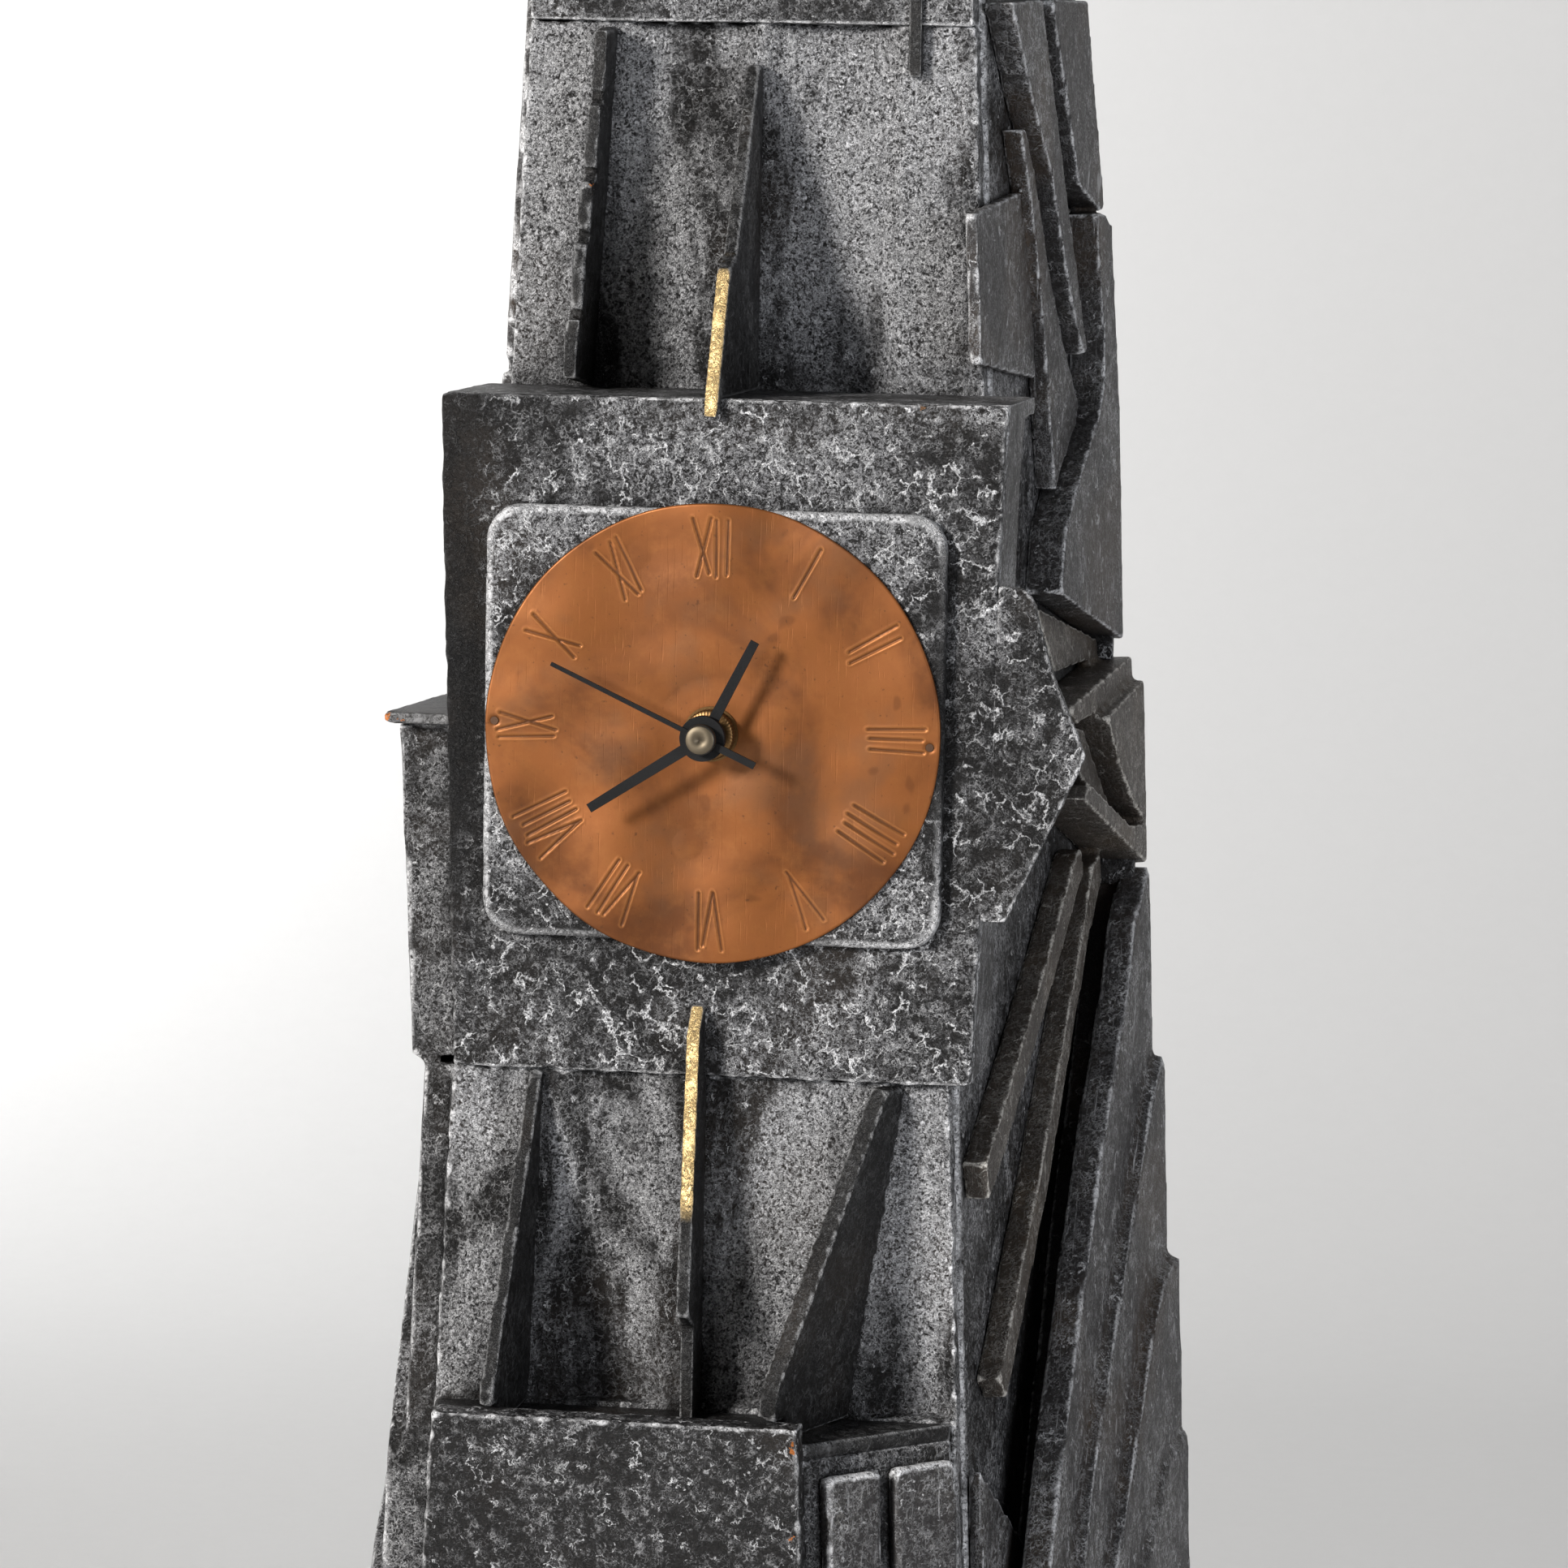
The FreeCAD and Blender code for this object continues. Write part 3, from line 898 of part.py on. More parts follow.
def teeth(name, kind, centre, count, module, level, bearing="0", gap=False):
    """Toothed disc with a tooth, or the gap between two, on a bearing."""
    addendum, dedendum, root_share, tip_share = TOOTH_SHARES[kind]
    number, size = round(value(count)), value(module)
    pitch = math.tau / number
    start = math.radians(value(bearing)) + (pitch / 2 if gap else 0)
    radius = number * size / 2
    root, tip = radius - dedendum * size, radius + addendum * size
    points = []
    for i in range(number):
        middle = start + i * pitch
        for reach, turn in ((root, -root_share), (tip, -tip_share), (tip, tip_share), (root, root_share)):
            angle = middle + turn * pitch / 2
            points.append(FreeCAD.Vector(reach * math.cos(angle), 0, reach * math.sin(angle)))
    face = Part.Face(Part.makePolygon(points + points[:1]))
    front, back = (value(text) for text in level)
    item = doc.addObject("Part::Feature", name)
    item.Shape = face.extrude(FreeCAD.Vector(0, back - front, 0))
    item.Placement = FreeCAD.Placement(
        FreeCAD.Vector(value(centre[0]), -back, value(centre[1])), FreeCAD.Rotation())
    return item


def arbor(name, centre, radius):
    """Arbor between the two plates of the case, with a pivot at each end."""
    reach = "(Dim.pivot_depth - Dim.shake)"
    shaft = rod(name + "_shaft", *centre, radius, f"{INNER_FRONT} - Dim.shake",
                f"{INNER_BACK} + Dim.shake")
    pivots = rod(name + "_pivots", *centre, "Dim.pivot", f"{INNER_FRONT} + {reach} - Dim.shake",
                 f"{INNER_BACK} - {reach} + Dim.shake")
    return [shaft, pivots]


def make_train():
    """Wheels and pinions from the rotor to the hour wheel."""
    third, step, turn = "Dim.third_bearing", "Dim.step_bearing", "Dim.rotor_bearing"
    motion, setting = "Dim.motion_bearing", "Dim.setting_bearing"

    rotor = arbor("rotor", ROTOR, "Dim.rotor_arbor")
    rotor.append(teeth("rotor_leaves", "pinion", ROTOR, "Dim.rotor_pinion", "Dim.step_module",
                       layer("step"), f"{turn} + 180", gap=True))
    magnet_front, _ = layer("rotor")
    rotor.append(rod("rotor_magnet", *ROTOR, "Dim.magnet_radius", magnet_front,
                     f"{magnet_front} - Dim.magnet_length"))
    node("rotor", fuse("rotor", rotor))

    step_parts = arbor("step", STEP, "Dim.arbor")
    step_parts.append(teeth("step_teeth", "wheel", STEP, "Dim.step_wheel", "Dim.step_module",
                            layer("step"), turn))
    step_parts.append(teeth("step_leaves", "pinion", STEP, "Dim.step_pinion", "Dim.second_module",
                            layer("second"), f"{step} + 180", gap=True))
    node("intermediate_wheel", fuse("intermediate_wheel", step_parts))

    reach = "(Dim.pivot_depth - Dim.shake)"
    hand_seat = f"({DIAL_FACE} + Dim.second_hand_rise + Dim.cap_depth / 2)"
    second = [rod("second_shaft", *CENTRE, "Dim.second_arbor", hand_seat, f"{INNER_BACK} + Dim.shake"),
              rod("second_pivot", *CENTRE, "Dim.pivot", SPLIT, f"{INNER_BACK} - {reach} + Dim.shake"),
              teeth("second_teeth", "wheel", CENTRE, "Dim.second_wheel", "Dim.second_module",
                    layer("second"), step),
              teeth("second_leaves", "pinion", CENTRE, "Dim.second_pinion", "Dim.third_module",
                    layer("third"), third, gap=True)]
    node("seconds_wheel", fuse("seconds_wheel", second))

    third_parts = arbor("third", THIRD, "Dim.arbor")
    third_parts.append(teeth("third_teeth", "wheel", THIRD, "Dim.third_wheel", "Dim.third_module",
                             layer("third"), f"{third} + 180"))
    third_parts.append(teeth("third_leaves", "pinion", THIRD, "Dim.third_pinion", MINUTE_MODULE,
                             layer("minute"), f"{third} + 180", gap=True))
    node("third_wheel", fuse("third_wheel", third_parts))

    minute_seat = f"({DIAL_FACE} + Dim.minute_hand_rise + Dim.hub_depth)"
    _, minute_back = layer("minute")
    minute = [rod("minute_pipe", *CENTRE, "Dim.minute_arbor", minute_seat, minute_back),
              teeth("minute_teeth", "wheel", CENTRE, "Dim.minute_wheel", MINUTE_MODULE,
                    layer("minute"), third),
              teeth("cannon_leaves", "pinion", CENTRE, "Dim.cannon_pinion", "Dim.motion_module",
                    layer("motion"), motion, gap=True)]
    bore = rod("minute_bore", *CENTRE, "Dim.minute_bore", f"{minute_seat} + Dim.overrun", INNER_BACK)
    node("minute_wheel", cut("minute_wheel", fuse("minute_solid", minute), [bore]))

    hour_seat = f"({DIAL_FACE} + Dim.hour_hand_rise + Dim.hub_depth)"
    _, hour_back = layer("hour")
    hour = [rod("hour_pipe", *CENTRE, "Dim.hour_pipe", hour_seat, hour_back),
            teeth("hour_teeth", "wheel", CENTRE, "Dim.hour_wheel", HOUR_MODULE, layer("hour"), motion)]
    bore = rod("hour_bore", *CENTRE, "Dim.hour_bore", f"{hour_seat} + Dim.overrun", INNER_BACK)
    node("hour_wheel", cut("hour_wheel", fuse("hour_solid", hour), [bore]))

    motion_parts = [teeth("motion_teeth", "wheel", MOTION, "Dim.motion_wheel", "Dim.motion_module",
                          layer("motion"), f"{motion} + 180"),
                    teeth("motion_leaves", "pinion", MOTION, "Dim.motion_pinion", HOUR_MODULE,
                          (layer("hour")[0], layer("motion")[0]), f"{motion} + 180", gap=True)]
    bore = rod("motion_bore", *MOTION, "Dim.stud + Dim.pivot_play", INNER_FRONT, SPLIT)
    node("motion_wheel", cut("motion_wheel", fuse("motion_solid", motion_parts), [bore]))

    knob_front = f"({CASE_BACK} - Dim.knob_gap)"
    # The motion wheel has a tooth towards the centre, so its teeth on the knob's side stand off by
    # the angle between the two; the setting wheel turns that back by the ratio of their teeth.
    around = f"(({motion} + 180 - {setting}) * Dim.motion_wheel / Dim.setting_wheel)"
    knob = [rod("knob_shaft", *SETTING, "Dim.arbor", f"{INNER_FRONT} - Dim.shake",
                f"{knob_front} - Dim.knob_length"),
            rod("knob_pivot", *SETTING, "Dim.pivot", f"{INNER_FRONT} + {reach} - Dim.shake", SPLIT),
            teeth("setting_teeth", "pinion", SETTING, "Dim.setting_wheel", "Dim.motion_module",
                  layer("motion"), f"{setting} + 180 - {around}", gap=True),
            rod("knob_grip", *SETTING, "Dim.knob_radius", knob_front, f"{knob_front} - Dim.knob_length")]
    node("setting_knob", fuse("setting_knob", knob))


def case_box(name, back, front, inset="0"):
    """Square block of the case between two front distances."""
    low = f"Dim.case_half - {inset}"
    return box(name, f"Dim.dial_x - ({low})", f"-({front})", f"Dim.dial_z - ({low})",
               f"2 * ({low})", f"({front}) - ({back})", f"2 * ({low})")


def partition(name, back, front):
    """Wall between the wheels and the cell."""
    return box(name, "Dim.dial_x - (Dim.case_half - Dim.case_wall)", f"-({front})",
               "Dim.dial_z - Dim.cell_drop + Dim.cell_radius + Dim.partition_gap",
               "2 * (Dim.case_half - Dim.case_wall)", f"({front}) - ({back})", "Dim.partition")


def pivot_hole(name, centre, start, end):
    """Blind hole for a pivot."""
    return rod(name, *centre, "Dim.pivot + Dim.pivot_play", start, end)


def make_case():
    """Two moulded halves round the wheels, with the threaded bush in front."""
    front_parts = [cut("front_shell", case_box("front_block", SPLIT, CASE_FRONT),
                       [case_box("front_hollow", f"{SPLIT} - Dim.overrun", INNER_FRONT,
                                 "Dim.case_wall")]),
                   rod("bush", *CENTRE, "Dim.bush_radius", BUSH_END, INNER_FRONT),
                   rod("motion_stud", *MOTION, "Dim.stud", CASE_FRONT, layer("motion")[1]),
                   partition("front_partition", SPLIT, INNER_FRONT)]
    end = f"{INNER_FRONT} + Dim.pivot_depth"
    holes = [rod("bush_bore", *CENTRE, "Dim.bush_bore", f"{BUSH_END} + Dim.overrun", SPLIT)]
    for name, centre in (("third", THIRD), ("step", STEP), ("rotor", ROTOR), ("setting", SETTING)):
        holes.append(pivot_hole(f"{name}_front_hole", centre, end, f"{INNER_FRONT} - Dim.overrun"))
    node("movement_front_case", cut("movement_front_case", fuse("front_solid", front_parts), holes))

    rear_parts = [cut("rear_shell", case_box("rear_block", CASE_BACK, SPLIT),
                      [case_box("rear_hollow", INNER_BACK, f"{SPLIT} + Dim.overrun", "Dim.case_wall")]),
                  partition("rear_partition", INNER_BACK, SPLIT)]
    end = f"{INNER_BACK} - Dim.pivot_depth"
    holes = [rod("knob_hole", *SETTING, "Dim.arbor + Dim.pivot_play", f"{INNER_BACK} + Dim.overrun",
                 f"{CASE_BACK} - Dim.overrun"),
             box("cell_window", "Dim.dial_x - (Dim.case_half - Dim.case_wall)",
                 f"-({INNER_BACK} + Dim.seat)", "Dim.dial_z - Dim.cell_drop - Dim.cell_radius",
                 "2 * (Dim.case_half - Dim.case_wall)", "Dim.case_wall + Dim.overrun",
                 "2 * Dim.cell_radius - Dim.partition")]
    for name, centre in (("third", THIRD), ("step", STEP), ("rotor", ROTOR), ("second", CENTRE)):
        holes.append(pivot_hole(f"{name}_rear_hole", centre, f"{INNER_BACK} + Dim.overrun", end))
    node("movement_rear_case", cut("movement_rear_case", fuse("rear_solid", rear_parts), holes))

    washer = cut("washer_ring", rod("washer_disc", *CENTRE, "Dim.washer_radius",
                                    f"{DIAL_FACE} + Dim.washer_thick", DIAL_FACE),
                 [rod("washer_bore", *CENTRE, "Dim.bush_radius", BUSH_END, CASE_FRONT)])
    node("fixing_washer", washer)
    nut_back = f"({DIAL_FACE} + Dim.washer_thick)"
    nut = cut("nut_ring", rod("nut_disc", *CENTRE, "Dim.nut_radius", f"{nut_back} + Dim.nut_thick",
                              nut_back),
              [rod("nut_bore", *CENTRE, "Dim.bush_radius", BUSH_END, CASE_FRONT)])
    node("fixing_nut", nut)


def make_motor():
    """Coil, stator, circuit board, cell and its contacts."""
    axis_x, axis_z = "(Dim.dial_x + Dim.coil_x)", "(Dim.dial_z + Dim.coil_rise)"
    coil_s = f"({INNER_BACK} + Dim.coil_flange + Dim.seat)"
    length = "Dim.coil_length"

    def along(name, radius, start, reach):
        return post(name, f"{axis_x} + {start}", f"-{coil_s}", axis_z, radius, reach,
                    turn="90", axis="0; 1; 0")

    wound = [along("coil_winding", "Dim.coil_radius", f"(-{length} / 2)", length),
             along("coil_flange_left", "Dim.coil_flange", f"(-{length} / 2)", "Dim.coil_flange_thick"),
             along("coil_flange_right", "Dim.coil_flange", f"({length} / 2 - Dim.coil_flange_thick)",
                   "Dim.coil_flange_thick")]
    bore = along("coil_bore", "Dim.coil_core", f"(-{length} / 2 - Dim.overrun)",
                 f"{length} + 2 * Dim.overrun")
    node("coil", cut("coil", fuse("coil_solid", wound), [bore]))

    plate_back = f"({coil_s} - Dim.stator_thick)"
    rotor_x, rotor_z = ROTOR
    pole_half = "(Dim.magnet_radius + Dim.stator_clearance + Dim.coil_core)"
    leg = "(2 * Dim.coil_core)"
    low = f"({rotor_z} - {pole_half})"
    outer = f"({length} / 2 + {leg})"
    plate = box("stator_plate", f"{axis_x} - {outer}", f"-({plate_back} + Dim.stator_thick)", low,
                f"2 * {outer}", "Dim.stator_thick",
                f"{pole_half} + Dim.magnet_radius + Dim.stator_clearance + Dim.stator_rim")
    legs = [box(f"stator_leg_{i}", f"{axis_x} + {x}", f"-({plate_back} + Dim.stator_thick)", low,
                leg, "Dim.stator_thick", f"{axis_z} + Dim.stator_thick - {low}")
            for i, x in enumerate((f"(-{outer})", f"({length} / 2)"))]
    core = box("stator_core", f"{axis_x} - {outer}", f"-({coil_s} + Dim.stator_thick)",
               f"{axis_z} - Dim.stator_thick", f"2 * {outer}", "2 * Dim.stator_thick",
               "2 * Dim.stator_thick")
    hole = rod("stator_hole", *ROTOR, "Dim.magnet_radius + Dim.stator_clearance", SPLIT, CASE_BACK)
    node("stator", cut("stator", fuse("stator_solid", [plate, core] + legs), [hole]))

    circuit = [box("circuit_plate", "Dim.dial_x + Dim.circuit_x - Dim.circuit_width / 2",
                   f"-({INNER_BACK} + Dim.circuit_thick)",
                   "Dim.dial_z + Dim.circuit_rise - Dim.circuit_height / 2", "Dim.circuit_width",
                   "Dim.circuit_thick", "Dim.circuit_height"),
               post("circuit_blob", "Dim.dial_x + Dim.circuit_x", f"-({INNER_BACK} + Dim.circuit_thick)",
                    "Dim.dial_z + Dim.circuit_rise", "Dim.circuit_blob", "Dim.circuit_thick",
                    turn="90", axis="1; 0; 0")]
    node("circuit_board", fuse("circuit_board", circuit))

    cell_s = f"({CASE_BACK} + Dim.case_depth / 2)"
    cell_z = "(Dim.dial_z - Dim.cell_drop)"
    inner = "(Dim.case_half - Dim.case_wall)"

    def cell_rod(name, radius, start, reach):
        return post(name, f"Dim.dial_x + {start}", f"-{cell_s}", cell_z, radius, reach,
                    turn="90", axis="0; 1; 0")

    cell_end = "(Dim.cell_length / 2)"
    node("battery", fuse("battery", [
        cell_rod("cell_can", "Dim.cell_radius", f"(-{cell_end})", "Dim.cell_length"),
        cell_rod("cell_cap", "Dim.cell_cap_radius", cell_end, "Dim.cell_cap_length")]))
    springs = []
    for name, start, reach in (("plus", f"({cell_end} + Dim.cell_cap_length)",
                                f"({inner} - {cell_end} - Dim.cell_cap_length)"),
                               ("minus", f"(-{inner})", f"({inner} - {cell_end})")):
        button = cell_rod(f"contact_{name}_button", "Dim.cell_cap_radius", start, reach)
        plate_x = f"({inner} - Dim.contact_thick)" if name == "plus" else f"(-{inner})"
        plate = box(f"contact_{name}_plate", f"Dim.dial_x + {plate_x}",
                    f"-({cell_s} + Dim.contact_width / 2)", f"{cell_z} - Dim.contact_width / 2",
                    "Dim.contact_thick", "Dim.contact_width", "Dim.contact_width")
        springs.append(fuse(f"contact_{name}", [button, plate]))
    group("battery_contacts", springs)


def hand_blade(name, rise, length, width, angle, tip_share="Dim.hand_tip_share"):
    """Flat pointer from the centre, turned clockwise from the upright."""
    outline = [(f"-{width} / 2", "0"), (f"{width} / 2", "0"),
               (f"{width} / 2 * {tip_share}", length), (f"-{width} / 2 * {tip_share}", length)]
    place = (f"placement(vector(Dim.dial_x; -({DIAL_FACE} + {rise}); Dim.dial_z);"
             f" rotation(vector(0; 1; 0); {angle}))")
    return board(name, "XZ_Plane", outline, "Dim.hand_thick", place)


def make_hands():
    """Hour, minute and second hand with their hubs."""
    for name, hub, bore in (("hour", "Dim.hour_hub", "Dim.hour_pipe"),
                            ("minute", "Dim.minute_hub", "Dim.minute_arbor")):
        rise = f"Dim.{name}_hand_rise"
        blade = hand_blade(f"{name}_blade", f"({rise} + Dim.hub_depth / 2)", f"Dim.{name}_length",
                           f"Dim.{name}_width", f"Dim.{name}_angle")
        boss = rod(f"{name}_boss", *CENTRE, hub, f"{DIAL_FACE} + {rise} + Dim.hub_depth",
                   f"{DIAL_FACE} + {rise}")
        hole = rod(f"{name}_hand_bore", *CENTRE, bore, f"{DIAL_FACE} + {rise} + 2 * Dim.hub_depth",
                   DIAL_FACE)
        node(f"{name}_hand", cut(f"{name}_hand", fuse(f"{name}_hand_solid", [blade, boss]), [hole]))
    rise = "Dim.second_hand_rise"
    blade = hand_blade("second_blade", rise, "Dim.second_length", "Dim.second_width",
                       "Dim.second_angle")
    tail = hand_blade("second_tail", rise, "Dim.second_tail", "Dim.second_tail_width",
                      "Dim.second_angle + 180", tip_share="1")
    cap = rod("second_cap", *CENTRE, "Dim.cap_radius", f"{DIAL_FACE} + {rise} + Dim.cap_depth",
              f"{DIAL_FACE} + {rise}")
    hole = rod("cap_bore", *CENTRE, "Dim.second_arbor", f"{DIAL_FACE} + {rise} + Dim.cap_depth / 2",
               DIAL_FACE)
    node("second_hand", cut("second_hand", fuse("second_solid", [blade, tail, cap]), [hole]))


make_plinth()
make_base()
make_base_slabs()
make_steeple()
make_back()
make_walls()
make_fronts()
make_block()
make_wing_and_ledge()
make_upper_fins()
make_lower_fins()
make_right_cladding()
make_left_cladding()
make_door()
make_dial()
make_train()
make_case()
make_motor()
make_hands()

doc.recompute()
for item in doc.Objects:
    if "Invalid" in item.State or "Error" in item.State:
        raise RuntimeError(f"{item.Name} did not recompute: {item.State}")
os.makedirs("parts", exist_ok=True)
for name, item in NODES.items():
    if item.Shape.isNull() or not item.Shape.isValid():
        raise RuntimeError(f"{name} has no valid shape")
for name, item in NODES.items():
    item.Shape.exportStep(f"parts/{name}.step")
print(len(NODES), "nodes written")
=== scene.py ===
"""Tower clock of painted boards: finishes, sculpted surfaces, stage and camera over the CAD."""

import json
import logging
import math
import random
from contextlib import contextmanager
from dataclasses import dataclass, field, replace
from enum import Enum
from functools import partial
from typing import Callable, Iterable, Iterator, Sequence

import bmesh
import bpy
import numpy as np
from mathutils import Matrix, Vector

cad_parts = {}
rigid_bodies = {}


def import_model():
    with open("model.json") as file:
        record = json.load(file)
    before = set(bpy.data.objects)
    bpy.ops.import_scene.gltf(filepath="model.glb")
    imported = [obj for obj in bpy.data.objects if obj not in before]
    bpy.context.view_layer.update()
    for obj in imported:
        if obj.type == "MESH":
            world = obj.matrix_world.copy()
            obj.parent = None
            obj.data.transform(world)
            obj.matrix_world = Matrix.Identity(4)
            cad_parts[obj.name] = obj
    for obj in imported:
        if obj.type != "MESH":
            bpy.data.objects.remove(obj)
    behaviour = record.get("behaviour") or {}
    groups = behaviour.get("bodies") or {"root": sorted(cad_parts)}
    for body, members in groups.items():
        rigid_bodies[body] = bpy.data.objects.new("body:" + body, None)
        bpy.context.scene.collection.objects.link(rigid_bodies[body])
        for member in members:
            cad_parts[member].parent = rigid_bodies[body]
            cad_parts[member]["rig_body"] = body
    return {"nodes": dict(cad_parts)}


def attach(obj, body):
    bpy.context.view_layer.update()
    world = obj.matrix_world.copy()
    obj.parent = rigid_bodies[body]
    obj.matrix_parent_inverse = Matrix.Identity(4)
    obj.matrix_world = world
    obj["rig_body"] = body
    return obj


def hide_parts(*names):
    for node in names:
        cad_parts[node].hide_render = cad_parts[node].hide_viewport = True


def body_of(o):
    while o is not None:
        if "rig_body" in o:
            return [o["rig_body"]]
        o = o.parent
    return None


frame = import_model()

LOG = logging.getLogger("tower_clock")
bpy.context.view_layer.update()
MM = 0.001
Object = bpy.types.Object
Mesh = bpy.types.Mesh
Socket = bpy.types.NodeSocket
Tree = bpy.types.ShaderNodeTree
Adder = Callable[..., Socket]
Point = tuple[float, float, float]
# Settings of the nodes that the finishes use most
STEP = {"interpolation_type": "SMOOTHSTEP"}
TIMES = {"operation": "MULTIPLY"}
TIMES_PLUS = {"operation": "MULTIPLY_ADD"}
LARGER = {"operation": "MAXIMUM"}
LESS = {"operation": "SUBTRACT"}


class Texture(Enum):
    """How a coat was worked while wet: levels above which its long and its fine ridges stand."""

    CRACKLED = (0.58, 0.42)
    DABBED = (0.5, 0.46)


class Detail(Enum):
    """How finely a board is sculpted: its grid in millimetres."""

    FINE = 1.1
    BOARD = 1.6
    PLAIN = 2.8


def linear(hex_colour: str) -> tuple[float, float, float, float]:
    """Turn an sRGB colour into the linear one that a shader takes.

    Args:
        hex_colour: Six hexadecimal digits after a hash mark.

    Returns:
        Linear red, green and blue, and full opacity.
    """
    parts = [int(hex_colour[i:i + 2], 16) / 255 for i in (1, 3, 5)]
    curve = [c / 12.92 if c <= 0.04045 else ((c + 0.055) / 1.055) ** 2.4 for c in parts]
    return (curve[0], curve[1], curve[2], 1.0)


def feed(tree: Tree, node: bpy.types.Node, feeds: dict | tuple) -> None:
    """Link or set a node's inputs.

    Args:
        tree: Node tree that holds the node.
        node: Node that takes them.
        feeds: Value or output socket for each input, by name or number, or in the inputs' order.
    """
    for key, value in feeds.items() if isinstance(feeds, dict) else enumerate(feeds):
        if isinstance(value, Socket):
            tree.links.new(value, node.inputs[key])
        else:
            node.inputs[key].default_value = value


def add_node(tree: Tree, kind: str, feeds: dict | tuple = (), out: int | str = 0,
             **settings: object) -> Socket:
    """Add a shader node with its settings and links.

    Args:
        tree: Node tree that gets the node.
        kind: Node type without the leading ShaderNode.
        feeds: Its inputs, as feed takes them.
        out: Name or number of the output that is wanted.
        settings: The node's own properties.

    Returns:
        That output of the new node.
    """
    node = tree.nodes.new("ShaderNode" + kind)
    for name, value in settings.items():
        setattr(node, name, value)
    feed(tree, node, feeds)
    return node.outputs[out]


def per_mm(size: float) -> float:
    """Texture scale, in cells per metre, for a pattern of a size in millimetres."""
    return 1 / (size * MM)


def grain(size: float, where: Socket, detail: float = 3, rough: float = 0.55,
          warp: float = 0) -> dict:
    """Inputs of a noise with features of a size in millimetres."""
    return {"Vector": where, "Scale": per_mm(size), "Detail": detail, "Roughness": rough,
            "Distortion": warp}


def drawn(where: Socket, stretch: Sequence[float] = (1, 1, 1), tilt: float = 0) -> dict:
    """Inputs of a mapping that stretches coordinates along their axes and tilts them about Y."""
    return {"Vector": where, "Scale": stretch, "Rotation": (0, math.radians(tilt), 0)}


def tint(share: Socket, under: Socket | tuple, over: str) -> dict:
    """Inputs of a mix that lays an sRGB colour over another one by a share."""
    return {0: share, 6: under, 7: linear(over)}


@dataclass(frozen=True)
class Finish:
    """What a surface is made of and how it was finished."""

    name: str
    slot: str

    def build(self, add: Adder) -> dict:
        """Nodes of the finish, and what they feed into the shader."""
        raise NotImplementedError

    def material(self) -> bpy.types.Material:
        """Make the finish's material, or find the one already made.

        Returns:
            Blender material.
        """
        found = bpy.data.materials.get(self.name)
        if found:
            return found
        made = bpy.data.materials.new(self.name)
        made.use_nodes = True
        tree = made.node_tree
        feed(tree, tree.nodes["Principled BSDF"], self.build(partial(add_node, tree)))
        return made


